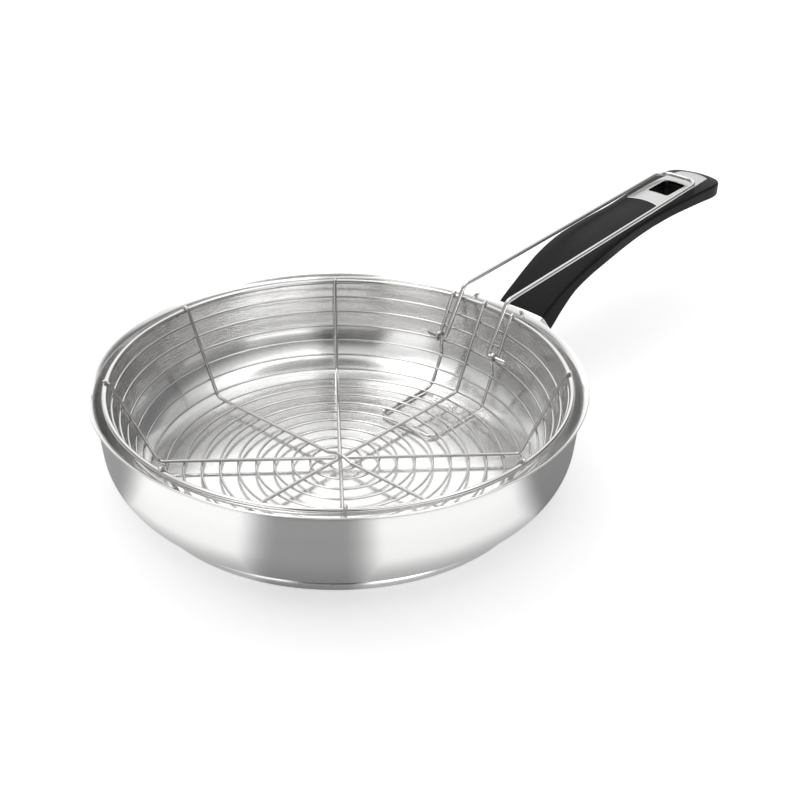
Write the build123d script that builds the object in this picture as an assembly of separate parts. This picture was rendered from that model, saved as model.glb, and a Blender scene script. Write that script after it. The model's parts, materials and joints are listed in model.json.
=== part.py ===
from build123d import *
import math
import os

# Frying pan with a folding-handle wire basket, in millimetres
# Origin at the centre of the underside, +X towards the handles, +Z up

# Pan shell
pan_height = 62.6
rim_radius = 140.0
sheet = 1.0
lip_reach = 3.1
lip_rise = 2.0
side_lean = 5.9
side_bend_radius = 32.0
lip_bend_radius = 3.6
side_chord_count = 4
lip_chord_count = 1
side_top_radius = rim_radius - lip_reach
side_foot_radius = side_top_radius - side_lean
side_top_z = pan_height - lip_rise

# Bonded base
core_thickness = 4.0
cap_sheet = 0.6
cap_inset = 17.3
cap_height = 6.0
cap_edge_bevel = 0.8
core_side_gap = 0.1
cap_radius = side_foot_radius - cap_inset

# Basket wires
rim_wire = 3.0
rib_wire = 2.2
spiral_wire_size = 1.5
support_wire = 2.2
weld_sink = 0.2
basket_seat_gap = 0.5
basket_side_gap = 6.1
basket_side_run = 25.8
basket_rim_drop = 0.9
rib_bend_radius = 5.0
joggle_flat = 3.0
joggle_run = 9.0
joggle_bend_radius = 6.0
rim_side_count = 6
rim_chord_count = 64
rib_side_count = 6
spiral_side_count = 5
support_side_count = 8
handle_side_count = 8
bend_chord_count = 4
slight_chord_count = 2
joggle_chord_count = 1
basket_rim_radius = side_top_radius - basket_side_gap
basket_rim_height = pan_height - basket_rim_drop
basket_floor_radius = basket_rim_radius - basket_side_run

# Spiral
spiral_start_radius = 8.4
floor_pitch = 10.4
side_pitch = 9.25
rib_count = 8
spiral_bend_spread = 8.0
fewest_bend_count = 2
most_bend_count = 4

# Support wire and its eyes
support_floor_run = 48.0
support_half_width = 20.5
support_corner_radius = 5.0
eye_pitch = 2.8
crossing_margin = 1.3
eye_chord_count = 12
support_inner_reach = basket_floor_radius - support_floor_run

# Folding wire handle
handle_wire = 2.8
pin_polish = 0.02
pin_shoulder = 0.4
pin_clearance = 0.04
stop_gap = 0.5
leg_side_gap = 0.9
pin_length = 14.0
pin_bend_radius = 2.2
leg_length = 35.4
leg_bend_radius = 5.0
loop_half_width = 16.2
loop_corner_radius = 10.0
loop_past_slot = 8.0
loop_rest_gap = 1.8
loop_chord_count = 8
pin_radius = handle_wire / 2 - pin_polish

# Grip
root_gap = 28.6
root_drop = 25.4
grip_reach = 206.9
grip_rise = 38.2
grip_half_width = 20.9
grip_side = 15.5
grip_belly = 7.0
grip_crown = 1.5
grip_corner_radius = 1.6
crown_chord_count = 4
belly_chord_count = 6
root_height = pan_height - root_drop

# Each station: place along the reach, height, half width, side, belly and crown, as shares of the sizes
grip_station_shares = [
    (0.000, 0.000, 0.853, 1.000, 0.25, 1.0),
    (0.037, 0.151, 0.858, 0.935, 0.38, 1.0),
    (0.083, 0.326, 0.868, 0.768, 0.58, 1.0),
    (0.143, 0.525, 0.902, 0.568, 0.80, 1.0),
    (0.216, 0.684, 0.956, 0.490, 0.93, 1.0),
    (0.315, 0.812, 0.971, 0.503, 1.00, 1.0),
    (0.440, 0.902, 0.912, 0.490, 1.00, 1.0),
    (0.566, 0.952, 0.863, 0.465, 0.95, 1.0),
    (0.692, 0.989, 0.907, 0.413, 0.87, 1.0),
    (0.793, 1.000, 0.975, 0.400, 0.80, 1.0),
    (0.869, 0.992, 1.000, 0.400, 0.74, 1.0),
    (0.925, 0.977, 0.907, 0.390, 0.62, 0.9),
    (0.963, 0.963, 0.706, 0.350, 0.44, 0.7),
    (0.986, 0.952, 0.471, 0.290, 0.28, 0.5),
    (1.000, 0.947, 0.230, 0.210, 0.14, 0.3),
]

# Hanging slot and its plate
slot_length = 22.0
slot_width = 14.6
slot_corner_radius = 3.5
slot_from_tip = 43.0
plate_thickness = 1.2
plate_proud = 0.3
plate_gap = 0.1
plate_before_slot = 19.0
plate_after_slot = 24.0
plate_half_width = 13.4
plate_near_bow = 4.0
plate_tip_half_width = 10.5
plate_shoulder = 6.5
stud_radius = 1.6
stud_length = 4.0
stud_place = 9.0
slot_side_share = 0.400

# Welded bracket
saddle_sheet = 1.6
saddle_half_width = 27.0
saddle_height = 27.0
saddle_corner_radius = 6.0
bracket_drop = 35.6
neck_wall_width = 37.0
neck_wall_thickness = 19.0
neck_end_width = 32.0
neck_end_thickness = 13.0
neck_bevel = 3.0
neck_step_count = 5
neck_sag_power = 1.5
guard_thickness = 3.0
guard_proud = 0.5
tongue_width = 16.0
tongue_thickness = 4.0
tongue_length = 26.0
socket_gap = 0.15
bracket_height = pan_height - bracket_drop

# Grip fastening
screw_place = 13.0
screw_radius = 2.0
screw_hole_gap = 0.25
screw_head_radius = 3.8
screw_head_height = 2.6
screw_length = 10.8
drive_radius = 1.5
drive_depth = 1.4
drive_side_count = 6
washer_radius = 4.0
washer_thickness = 0.8
washer_slit_width = 0.8
web_thickness = 2.2
counterbore_gap = 0.5
insert_radius = 3.25
insert_length = 4.0
insert_gap = 0.05
overrun = 30.0

# Heights worked out from the sizes above, from the ground up
pan_floor_under = cap_sheet + core_thickness
pan_floor_top = pan_floor_under + sheet
support_z = pan_floor_top + basket_seat_gap + support_wire / 2
spiral_z = support_z + (support_wire + spiral_wire_size) / 2 - weld_sink
rib_z = spiral_z + (spiral_wire_size + rib_wire) / 2 - weld_sink

# A rib's side line touches a circle about the rim wire, so its end can wrap over the rim
hook_radius = (rim_wire + rib_wire) / 2 - weld_sink
side_rise = basket_rim_height - rib_z
side_length = math.hypot(side_rise, basket_side_run)
side_angle = math.atan2(side_rise, basket_side_run) + math.asin(hook_radius / side_length)
spiral_offset = (rib_wire + spiral_wire_size) / 2 - weld_sink
support_offset = spiral_offset + (spiral_wire_size + support_wire) / 2 - weld_sink
full_degrees = 360
full_turn = math.radians(full_degrees)
rib_turn = full_turn / rib_count


def side_radius(height, offset=0.0):
    """Distance from the basket's axis to the side line, moved outward by an offset square to it."""
    return basket_floor_radius + (height - rib_z) / math.tan(side_angle) + offset / math.sin(side_angle)


def side_x(height, y, offset=0.0):
    """X of the side line where a plane of constant y cuts the basket's cone."""
    return math.sqrt(side_radius(height, offset) ** 2 - y**2)


def rounded(corners, radii, chords):
    """The points of a line whose inner corners are rounded, each by a number of chords."""
    points = [Vector(corners[0])]
    threes = zip(corners[:-2], corners[1:-1], corners[2:])
    for (before, corner, after), radius, count in zip(threes, radii, chords):
        go_in = (Vector(corner) - Vector(before)).normalized()
        go_out = (Vector(after) - Vector(corner)).normalized()
        turn = math.acos(go_in.dot(go_out))
        inward = (go_out - go_in * go_in.dot(go_out)).normalized()
        start = Vector(corner) - go_in * (radius * math.tan(turn / 2))
        for index in range(count + 1):
            angle = turn * index / count
            along, aside = radius * math.sin(angle), radius * (1 - math.cos(angle))
            points.append(start + go_in * along + inward * aside)
    return points + [Vector(corners[-1])]


def skin(rings, split=False, closed=False):
    """A solid with flat faces between neighbouring rings of points, and on both ends unless it is closed."""
    faces = [] if closed else [Face(Wire.make_polygon(ring)) for ring in (rings[0], rings[-1])]
    pairs = zip(rings, rings[1:] + rings[:1]) if closed else zip(rings[:-1], rings[1:])
    for ring, following in pairs:
        for index, corner in enumerate(ring):
            a, b, c = ring[index - 1], following[index - 1], following[index]
            if split:
                faces += [Face(Wire.make_polygon([a, b, c])), Face(Wire.make_polygon([a, c, corner]))]
            else:
                faces.append(Face(Wire.make_polygon([a, b, c, corner])))
    return Solid(Shell(faces))


def corner_radius(size, sides):
    """Distance from a wire's middle to the edges between its flats."""
    return size / 2 / math.cos(math.pi / sides)


def wire_through(points, size, sides):
    """A drawn wire with mitred bends along a line of points. It starts level, with a flat facing up."""
    steps = [(b - a).normalized() for a, b in zip(points[:-1], points[1:])]
    start = Plane(origin=points[0], x_dir=(0, 0, 1), z_dir=steps[0])
    corner = corner_radius(size, sides)
    ring = []
    for index in range(sides):
        angle = full_turn * (index + 1 / 2) / sides
        ring.append(start.from_local_coords((corner * math.cos(angle), corner * math.sin(angle), 0)))
    rings = [ring]
    for point, step, following in zip(points[1:], steps, steps[1:] + steps[-1:]):
        mitre = (step + following).normalized()
        ring = [place + step * ((point - place).dot(mitre) / step.dot(mitre)) for place in ring]
        rings.append(ring)
    return skin(rings)


# Pan shell: one drawn sheet from the centre of the floor to the edge of the lip
shell_corners = [
    (0, 0, pan_floor_under),
    (side_foot_radius, 0, pan_floor_under),
    (side_top_radius, 0, side_top_z),
    (rim_radius, 0, pan_height),
]
shell_radii = (side_bend_radius, lip_bend_radius)
shell_points = rounded(shell_corners, shell_radii, (side_chord_count, lip_chord_count))


def moved_outline(points, distance):
    """An outline in the XZ plane moved square to itself: to its right, or to its left if negative."""
    steps = [(b - a).normalized() for a, b in zip(points[:-1], points[1:])]
    moved = []
    for point, before, after in zip(points, steps[:1] + steps, steps + steps[-1:]):
        right = Vector(before.Z + after.Z, 0, -before.X - after.X).normalized()
        moved.append(point + right * (distance / right.dot(Vector(before.Z, 0, -before.X))))
    return moved


def turned_sheet(distance):
    """The shell's outline given a thickness to one side and turned about the pan's axis."""
    corners = shell_points + moved_outline(shell_points, distance)[::-1]
    return revolve(make_face(Polyline(*corners, close=True)), Axis.Z)


envelope = revolve(make_face(Polyline(*shell_points, (0, 0, pan_height), close=True)), Axis.Z)
pan_body = turned_sheet(-sheet)

# Bonded base: a steel cup with the aluminium disc pressed up against the curved floor
cup = extrude(Circle(cap_radius), cap_height)
cup = chamfer(cup.edges().group_by(Axis.Z)[0], cap_edge_bevel)
base_cap = cup - Pos(Z=cap_sheet) * extrude(Circle(cap_radius - cap_sheet), cap_height) - envelope
core_radius = cap_radius - cap_sheet - core_side_gap
base_core = Pos(Z=cap_sheet) * extrude(Circle(core_radius), cap_height - cap_sheet) - envelope



def rim_ring(place):
    """Corners of the rim wire's section at one of its bends, with a flat on top and one below."""
    turn = full_turn * place / rim_chord_count
    outward = Vector(math.cos(turn), math.sin(turn), 0)
    middle = outward * basket_rim_radius + Vector(0, 0, basket_rim_height)
    corner = corner_radius(rim_wire, rim_side_count)
    ring = []
    for side in range(rim_side_count):
        angle = full_turn * side / rim_side_count
        ring.append(middle + outward * (corner * math.cos(angle)) + Vector(0, 0, corner * math.sin(angle)))
    return ring


# Basket rim, with a bend at every rib
basket_rim = skin([rim_ring(place) for place in range(rim_chord_count)], closed=True)


def rib_points(sign):
    """Corner, hook and end of a rib's outline on one side of the basket."""
    hook_z = basket_rim_height + hook_radius
    return [
        (sign * basket_floor_radius, 0, rib_z),
        (sign * side_radius(hook_z), 0, hook_z),
        (sign * (basket_rim_radius + rim_wire / 2), 0, hook_z),
    ]


def through_rib(middle):
    """A rib that runs from rim to rim across the floor, with the corners of its middle as given."""
    corners = [*reversed(rib_points(-1)), *middle, *rib_points(1)]
    middle_radii = [joggle_bend_radius] * len(middle)
    radii = [hook_radius, rib_bend_radius, *middle_radii, rib_bend_radius, hook_radius]
    end_chords = [bend_chord_count, bend_chord_count]
    chords = [*end_chords, *[joggle_chord_count] * len(middle), *end_chords]
    return wire_through(rounded(corners, radii, chords), rib_wire, rib_side_count)


joggle_z = rib_z + rib_wire - weld_sink
long_rib = through_rib([])
joggle = [
    (-joggle_run, 0, rib_z),
    (-joggle_flat, 0, joggle_z),
    (joggle_flat, 0, joggle_z),
    (joggle_run, 0, rib_z),
]
cross_rib = Rot(Z=full_degrees / 4) * through_rib(joggle)

# Four half ribs end where they meet the long rib, halfway between the through ribs
half_rib_start = rib_wire / 2 * (1 + math.cos(rib_turn)) / math.sin(rib_turn) - weld_sink
half_rib_corners = [(half_rib_start, 0, rib_z), *rib_points(1)]
half_rib_chords = (bend_chord_count, bend_chord_count)
half_rib_points = rounded(half_rib_corners, (rib_bend_radius, hook_radius), half_rib_chords)
half_rib = wire_through(half_rib_points, rib_wire, rib_side_count)
diagonal_ribs = [Rot(Z=full_degrees * place / rib_count) * half_rib for place in range(1, rib_count, 2)]

# Spiral: flat on the floor, round the corner, then up the outside of the ribs to the rim
spiral_bend = rib_bend_radius + spiral_offset
spiral_corner = side_radius(spiral_z, spiral_offset)
spiral_floor_end = spiral_corner - spiral_bend * math.tan(side_angle / 2)
floor_run = spiral_floor_end - spiral_start_radius
bend_run = spiral_bend * side_angle
bend_top_z = spiral_z + spiral_bend * (1 - math.cos(side_angle))
spiral_top_z = basket_rim_height - (rim_wire + spiral_wire_size) / 2 + weld_sink
side_run = (spiral_top_z - bend_top_z) / math.sin(side_angle)
floor_turns = floor_run / floor_pitch
spiral_turns = floor_turns + (bend_run + side_run) / side_pitch


def spiral_section(turn):
    """Radius and height of the spiral after a number of turns."""
    if turn < floor_turns:
        return spiral_start_radius + turn * floor_pitch, spiral_z
    run = (turn - floor_turns) * side_pitch
    if run < bend_run:
        angle = run / spiral_bend
        rise = spiral_bend * (1 - math.cos(angle))
        return spiral_floor_end + spiral_bend * math.sin(angle), spiral_z + rise
    height = bend_top_z + (run - bend_run) * math.sin(side_angle)
    return side_radius(height, spiral_offset), height


def spiral_place(turn):
    """Point on the spiral. It starts under the long rib, opposite the handles, and climbs anticlockwise."""
    radius, height = spiral_section(turn)
    angle = full_turn * (turn + 1 / 2)
    return Vector(radius * math.cos(angle), radius * math.sin(angle), height)


def spiral_bends():
    """Places of the spiral's bends: one at every rib, and a few between ribs, more where it is wider."""
    turns = []
    for rib_pass in range(math.ceil(spiral_turns * rib_count)):
        spread = math.sqrt(spiral_section(rib_pass / rib_count)[0] / spiral_bend_spread)
        bends = min(max(round(spread), fewest_bend_count), most_bend_count)
        turns += [(rib_pass + index / bends) / rib_count for index in range(bends)]
    last_bend = spiral_turns - 1 / (2 * rib_count * most_bend_count)
    return [spiral_place(turn) for turn in turns if turn < last_bend] + [spiral_place(spiral_turns)]


spiral_wire = wire_through(spiral_bends(), spiral_wire_size, spiral_side_count)
spiral_gap = min(floor_pitch, side_pitch) - spiral_wire_size
print("spiral turns", round(spiral_turns, 2), "least gap to itself", round(spiral_gap, 2))

# The pins sit midway between the second and third turns below the rim on the handles' side
top_pass = math.floor(spiral_turns - 1 / 2) + 1 / 2
pass_heights = [spiral_section(top_pass - below)[1] for below in range(4)]
pin_z = (pass_heights[1] + pass_heights[2]) / 2
eye_radius = pin_radius + corner_radius(support_wire, support_side_count) + pin_clearance
eye_y = support_half_width + eye_pitch / 2
up_side = Vector(math.cos(side_angle), 0, math.sin(side_angle))
out_side = Vector(math.sin(side_angle), 0, -math.cos(side_angle))
pin_x = side_x(pin_z, eye_y) - eye_radius / math.sin(side_angle)


def support_leg(sign):
    """Runs of a support leg: up outside the spiral, in between two turns, round the eye, over the rim."""
    lower_y = sign * support_half_width
    upper_y = sign * (support_half_width + eye_pitch)
    pin = Vector(pin_x, lower_y, pin_z)
    eye_foot = pin + out_side * eye_radius
    eye_head = eye_foot + Vector(0, upper_y - lower_y, 0)
    low_z = pass_heights[3] + crossing_margin
    high_z = pass_heights[2] - crossing_margin
    corner_x = side_x(support_z, support_half_width, support_offset)
    hook_z = basket_rim_height + hook_radius
    hook_x = eye_head.X + (hook_z - eye_head.Z) / math.tan(side_angle)
    end_x = math.sqrt((basket_rim_radius + rim_wire / 2) ** 2 - upper_y**2)
    lower = [
        Vector(corner_x, lower_y, support_z),
        Vector(side_x(low_z, lower_y, support_offset), lower_y, low_z),
        eye_foot + up_side * ((high_z - eye_foot.Z) / math.sin(side_angle)),
        eye_foot,
    ]
    upper = [eye_head, Vector(hook_x, upper_y, hook_z), Vector(end_x, upper_y, hook_z)]
    reach = eye_radius / math.cos(math.pi / eye_chord_count)
    around = []
    for index in range(eye_chord_count):
        angle = full_turn * (index + 1 / 2) / eye_chord_count
        rise = Vector(0, (upper_y - lower_y) * angle / full_turn, 0)
        around.append(pin + rise + (out_side * math.cos(angle) + up_side * math.sin(angle)) * reach)
    return lower, around, upper


right_lower, right_eye, right_upper = support_leg(-1)
left_lower, left_eye, left_upper = support_leg(1)
right_inner = Vector(support_inner_reach, -support_half_width, support_z)
left_inner = Vector(support_inner_reach, support_half_width, support_z)
floor_bend = rib_bend_radius + support_offset
leg_radii = [rib_bend_radius, rib_bend_radius, floor_bend, support_corner_radius]
leg_chords = [slight_chord_count, slight_chord_count, bend_chord_count, bend_chord_count]
under_corners = [*reversed(right_lower), right_inner, left_inner, *left_lower]
under_points = rounded(under_corners, leg_radii + leg_radii[::-1], leg_chords + leg_chords[::-1])
right_top = rounded(list(reversed(right_upper)), [hook_radius], [bend_chord_count])
left_top = rounded(left_upper, [hook_radius], [bend_chord_count])
support_points = [*right_top[:-1], *reversed(right_eye), *under_points[1:-1], *left_eye, *left_top[1:]]
handle_support = wire_through(support_points, support_wire, support_side_count)

# Grip stations, in the plane that holds the handles
root_x = rim_radius + root_gap
spine = [(root_x + row[0] * grip_reach, root_height + row[1] * grip_rise) for row in grip_station_shares]


def spine_slope(index):
    """Slope of the grip's spine at a station, from the stations before and after it."""
    before = spine[max(index - 1, 0)]
    after = spine[min(index + 1, len(spine) - 1)]
    return math.atan2(after[1] - before[1], after[0] - before[0])


def spine_plane(index):
    """Plane square to the spine, with its own X across the grip and its own Y up."""
    slope = spine_slope(index)
    x, z = spine[index]
    return Plane(origin=(x, 0, z), x_dir=(0, 1, 0), z_dir=(math.cos(slope), 0, math.sin(slope)))


def arc_between(start, middle, end, chords):
    """Points along an arc through three places, without its two ends."""
    arc = ThreePointArc(start, middle, end)
    return [arc @ (index / chords) for index in range(1, chords)]


def grip_ring(index, grow=0.0):
    """Corners of the grip's section: crowned top, blunt corners, plain sides and a bellied underside."""
    width, side, belly, crown = grip_station_shares[index][2:]
    half = width * grip_half_width + grow
    top = side * grip_side / 2 + grow
    keel = -top - belly * grip_belly
    corner = min(grip_corner_radius, top, half / 2)
    lean = corner * (1 - math.cos(math.pi / 4))
    flat = half - corner
    crest = top + crown * grip_crown
    outline = [(-flat, top), *arc_between((-flat, top), (0, crest), (flat, top), crown_chord_count)]
    outline += [(flat, top), (half - lean, top - lean), (half, top - corner), (half, -top)]
    outline += arc_between((half, -top), (0, keel), (-half, -top), belly_chord_count)
    outline += [(-half, -top), (-half, top - corner), (-half + lean, top - lean)]
    plane = spine_plane(index)
    return [plane.from_local_coords((point[0], point[1], 0)) for point in map(tuple, outline)]


grip_blank = skin([grip_ring(index) for index in range(len(spine))], split=True)
grip_top_z = root_height + grip_rise + slot_side_share * grip_side / 2 + grip_crown
slot_x = root_x + grip_reach - slot_from_tip
slot_end_x = slot_x + slot_length / 2
mid_grip_z = root_height + grip_rise

# Hanging slot, right through the grip and its plate
slot_cut = Pos(slot_x, 0, mid_grip_z) * extrude(
    RectangleRounded(slot_length, slot_width, slot_corner_radius), overrun, both=True
)


def plate_prism(grow):
    """The plate's outline, standing on the grip's middle and reaching above its top."""
    near = slot_x - slot_length / 2 - plate_before_slot - grow
    far = slot_end_x + plate_after_slot + grow
    half = plate_half_width + grow
    shoulder = far - plate_shoulder
    tip_half = plate_tip_half_width + grow
    outline = (
        ThreePointArc((near, -half), (near + plate_near_bow, 0), (near, half))
        + Line((near, half), (slot_end_x, half))
        + Line((slot_end_x, half), (shoulder, tip_half))
        + ThreePointArc((shoulder, tip_half), (far, 0), (shoulder, -tip_half))
        + Line((shoulder, -tip_half), (slot_end_x, -half))
        + Line((slot_end_x, -half), (near, -half))
    )
    return Pos(Z=mid_grip_z) * extrude(make_face(outline), overrun)


def upright_studs(radius):
    """The two studs before and after the slot, from the plate down into the grip."""
    spread = slot_length / 2 + stud_place
    foot_z = grip_top_z - plate_thickness - stud_length
    stud = Pos(Z=foot_z) * extrude(Circle(radius), overrun)
    return Pos(slot_x - spread) * stud + Pos(slot_x + spread) * stud


plate_floor = Pos(Z=plate_proud - plate_thickness) * grip_blank
raised_blank = Pos(Z=plate_proud) * grip_blank
plate_sheet = (raised_blank & plate_prism(0)) - plate_floor
plate_studs = raised_blank & upright_studs(stud_radius)
hanger_plate = plate_sheet + plate_studs - slot_cut
plate_pocket = plate_prism(plate_gap) - plate_floor

# Tongue and fastening, in the frame of the grip's root: X across, Y up, Z along the grip
root = spine_plane(0)


def tongue_bar(grow, reach):
    """The tongue, or with a gap the socket for it, from behind the guard into the grip."""
    bar = Box(tongue_width + 2 * grow, tongue_thickness + 2 * grow, guard_thickness + reach + grow)
    return root * Pos(Z=(reach + grow - guard_thickness) / 2) * bar


screw_up = Vector(root.y_dir)
screw_plane = Plane(origin=root.from_local_coords((0, 0, screw_place)), x_dir=(0, 1, 0), z_dir=screw_up)
socket_half = tongue_thickness / 2 + socket_gap
seat = -socket_half - web_thickness
head_top = seat - washer_thickness


def on_screw(radius, low, high):
    """A round solid on the screw's axis between two heights measured from the tongue's middle."""
    return screw_plane * Pos(Z=low) * extrude(Circle(radius), high - low)


screw_hole = on_screw(screw_radius + screw_hole_gap, head_top, socket_half)
counterbore = on_screw(washer_radius + counterbore_gap, seat - overrun, seat)
head_foot = head_top - screw_head_height
shank = on_screw(screw_radius, head_top, head_top + screw_length)
drive_section = RegularPolygon(drive_radius, drive_side_count)
drive = screw_plane * Pos(Z=head_foot) * extrude(drive_section, drive_depth)
grip_screw = on_screw(screw_head_radius, head_foot, head_top) + shank - drive
washer_slit = screw_plane * Pos(0, washer_radius, seat - washer_thickness / 2) * Box(
    washer_slit_width, 2 * washer_radius, 2 * washer_thickness
)
lock_washer = on_screw(washer_radius, head_top, seat) - screw_hole - washer_slit
insert_top = socket_half + insert_length
thread_insert = on_screw(insert_radius, socket_half, insert_top) - on_screw(
    screw_radius + insert_gap, socket_half, insert_top
)
insert_pocket = on_screw(insert_radius + insert_gap, socket_half, insert_top + insert_gap)
grip = grip_blank - slot_cut - plate_pocket - upright_studs(stud_radius + plate_gap)
grip = grip - tongue_bar(socket_gap, tongue_length) - insert_pocket - counterbore - screw_hole

# Flame guard: a collar of the grip's own section, a little proud of it
guard_front = grip_ring(0, grow=guard_proud)
guard_back = [corner - root.z_dir * guard_thickness for corner in guard_front]
guard_blank = skin([guard_back, guard_front])
flame_guard = guard_blank - tongue_bar(socket_gap, 0)

# Bracket: a saddle on the drawn side, a neck that turns up to the grip's slope, and the tongue
wall_slope = side_lean / (side_top_z - pan_floor_under)
wall_x = side_foot_radius + (bracket_height - pan_floor_under) * wall_slope
neck_start_x = wall_x - neck_wall_thickness / 2
neck_end = root.from_local_coords((0, 0, -guard_thickness))
neck_end_slope = spine_slope(0)


def neck_ring(share):
    """Corners of the neck's section at a share of its length, a bevelled rectangle that turns with it."""
    slope = neck_end_slope * share
    x = neck_start_x + (neck_end.X - neck_start_x) * share
    z = bracket_height + (neck_end.Z - bracket_height) * share ** neck_sag_power
    half = (neck_wall_width + (neck_end_width - neck_wall_width) * share) / 2
    top = (neck_wall_thickness + (neck_end_thickness - neck_wall_thickness) * share) / 2
    bevel = neck_bevel
    outline = [
        (half, top - bevel),
        (half - bevel, top),
        (bevel - half, top),
        (-half, top - bevel),
        (-half, bevel - top),
        (bevel - half, -top),
        (half - bevel, -top),
        (half, bevel - top),
    ]
    plane = Plane(origin=(x, 0, z), x_dir=(0, 1, 0), z_dir=(math.cos(slope), 0, math.sin(slope)))
    return [plane.from_local_coords((across, up, 0)) for across, up in outline]


neck = skin([neck_ring(index / neck_step_count) for index in range(neck_step_count + 1)], split=True)
saddle_window = Plane(origin=(0, 0, bracket_height), x_dir=(0, 1, 0), z_dir=(1, 0, 0)) * extrude(
    RectangleRounded(2 * saddle_half_width, saddle_height, saddle_corner_radius), rim_radius
)
saddle = turned_sheet(saddle_sheet) & saddle_window
handle_bracket = (neck - envelope) + saddle + tongue_bar(0, tongue_length) - screw_hole

# Wire handle: a long loop whose legs lean on the rim and end in round pins turned out through the eyes
leg_y = support_half_width - support_wire / 2 - leg_side_gap - handle_wire / 2
rim_x = math.sqrt(basket_rim_radius**2 - leg_y**2)
lean_gap = (rim_wire + handle_wire) / 2 + stop_gap
to_rim = math.hypot(rim_x - pin_x, basket_rim_height - pin_z)
leg_angle = math.atan2(basket_rim_height - pin_z, rim_x - pin_x) + math.asin(lean_gap / to_rim)
bend_x = pin_x + leg_length * math.cos(leg_angle)
bend_z = pin_z + leg_length * math.sin(leg_angle)
loop_x = slot_end_x + loop_past_slot
loop_z = grip_top_z + handle_wire / 2 + loop_rest_gap
pin_start_y = leg_y + pin_bend_radius + pin_shoulder
right_half = [
    (pin_x, -pin_start_y, pin_z),
    (pin_x, -leg_y, pin_z),
    (bend_x, -leg_y, bend_z),
    (loop_x, -loop_half_width, loop_z),
]
left_half = [(x, -y, z) for x, y, z in reversed(right_half)]
handle_radii = [pin_bend_radius, leg_bend_radius, loop_corner_radius]
handle_chords = [bend_chord_count, slight_chord_count, loop_chord_count]
handle_points = rounded(
    right_half + left_half, handle_radii + handle_radii[::-1], handle_chords + handle_chords[::-1]
)
loop = wire_through(handle_points, handle_wire, handle_side_count)
right_pin_plane = Plane(origin=(pin_x, -pin_start_y, pin_z), z_dir=(0, -1, 0))
left_pin_plane = Plane(origin=(pin_x, pin_start_y, pin_z), z_dir=(0, 1, 0))
pin = extrude(Circle(pin_radius), leg_y + pin_length - pin_start_y)
basket_handle = loop + right_pin_plane * pin + left_pin_plane * pin
print("pin axis x and z", round(pin_x, 3), round(pin_z, 3), "loop end", round(loop_x, 2), round(loop_z, 2))

pieces = {
    "pan_body": pan_body,
    "base_core": base_core,
    "base_cap": base_cap,
    "handle_bracket": handle_bracket,
    "flame_guard": flame_guard,
    "grip": grip,
    "hanger_plate": hanger_plate,
    "grip_screw": grip_screw,
    "lock_washer": lock_washer,
    "thread_insert": thread_insert,
    "basket_rim": basket_rim,
    "long_rib": long_rib,
    "cross_rib": cross_rib,
    "spiral_wire": spiral_wire,
    "handle_support": handle_support,
    "basket_handle": basket_handle,
}
for number, diagonal_rib in enumerate(diagonal_ribs, start=1):
    pieces[f"diagonal_rib_{number}"] = diagonal_rib

os.makedirs("parts", exist_ok=True)
for name, shape in pieces.items():
    export_step(shape, f"parts/{name}.step")
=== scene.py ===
"""Looks of a deep frying pan and its wire frying basket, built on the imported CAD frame.

Lengths are metres in the CAD's own frame: the origin is the centre of the pan's underside, +X points
to the grip and +Z is up. Each sub-assembly is a class that builds and dresses its own pieces.
"""

import json
import logging
import math
from dataclasses import dataclass
from enum import Enum
from typing import Sequence

import bpy
import numpy as np
from mathutils import Matrix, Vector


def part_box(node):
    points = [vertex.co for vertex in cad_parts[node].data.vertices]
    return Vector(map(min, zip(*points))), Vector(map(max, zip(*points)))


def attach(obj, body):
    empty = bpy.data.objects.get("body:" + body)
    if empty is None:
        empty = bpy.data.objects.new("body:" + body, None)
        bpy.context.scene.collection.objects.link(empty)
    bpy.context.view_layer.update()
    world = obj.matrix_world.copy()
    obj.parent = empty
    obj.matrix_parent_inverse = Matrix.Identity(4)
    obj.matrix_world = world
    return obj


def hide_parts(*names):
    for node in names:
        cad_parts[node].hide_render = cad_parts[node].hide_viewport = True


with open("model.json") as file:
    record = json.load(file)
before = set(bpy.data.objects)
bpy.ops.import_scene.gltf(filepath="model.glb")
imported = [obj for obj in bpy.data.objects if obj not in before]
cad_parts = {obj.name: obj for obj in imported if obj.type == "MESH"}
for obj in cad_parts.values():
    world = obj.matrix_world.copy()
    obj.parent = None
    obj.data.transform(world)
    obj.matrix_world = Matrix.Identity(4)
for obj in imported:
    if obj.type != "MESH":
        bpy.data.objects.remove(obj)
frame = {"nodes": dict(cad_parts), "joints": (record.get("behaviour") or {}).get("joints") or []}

log = logging.getLogger("frying_pan")

MM = 0.001

Point = tuple[float, float, float]
Corners = Sequence[Sequence[float]] | np.ndarray
Socket = bpy.types.NodeSocket
Mesh = bpy.types.Mesh
Material = bpy.types.Material


# Points and surfaces


def unit(vectors: np.ndarray) -> np.ndarray:
    """Vectors made one unit long, along the last axis."""
    return vectors / np.linalg.norm(vectors, axis=-1, keepdims=True)


def full_turn(count: int) -> np.ndarray:
    """Evenly spaced angles of one turn, from 0."""
    return np.linspace(0.0, 2 * math.pi, count, endpoint=False)


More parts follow.
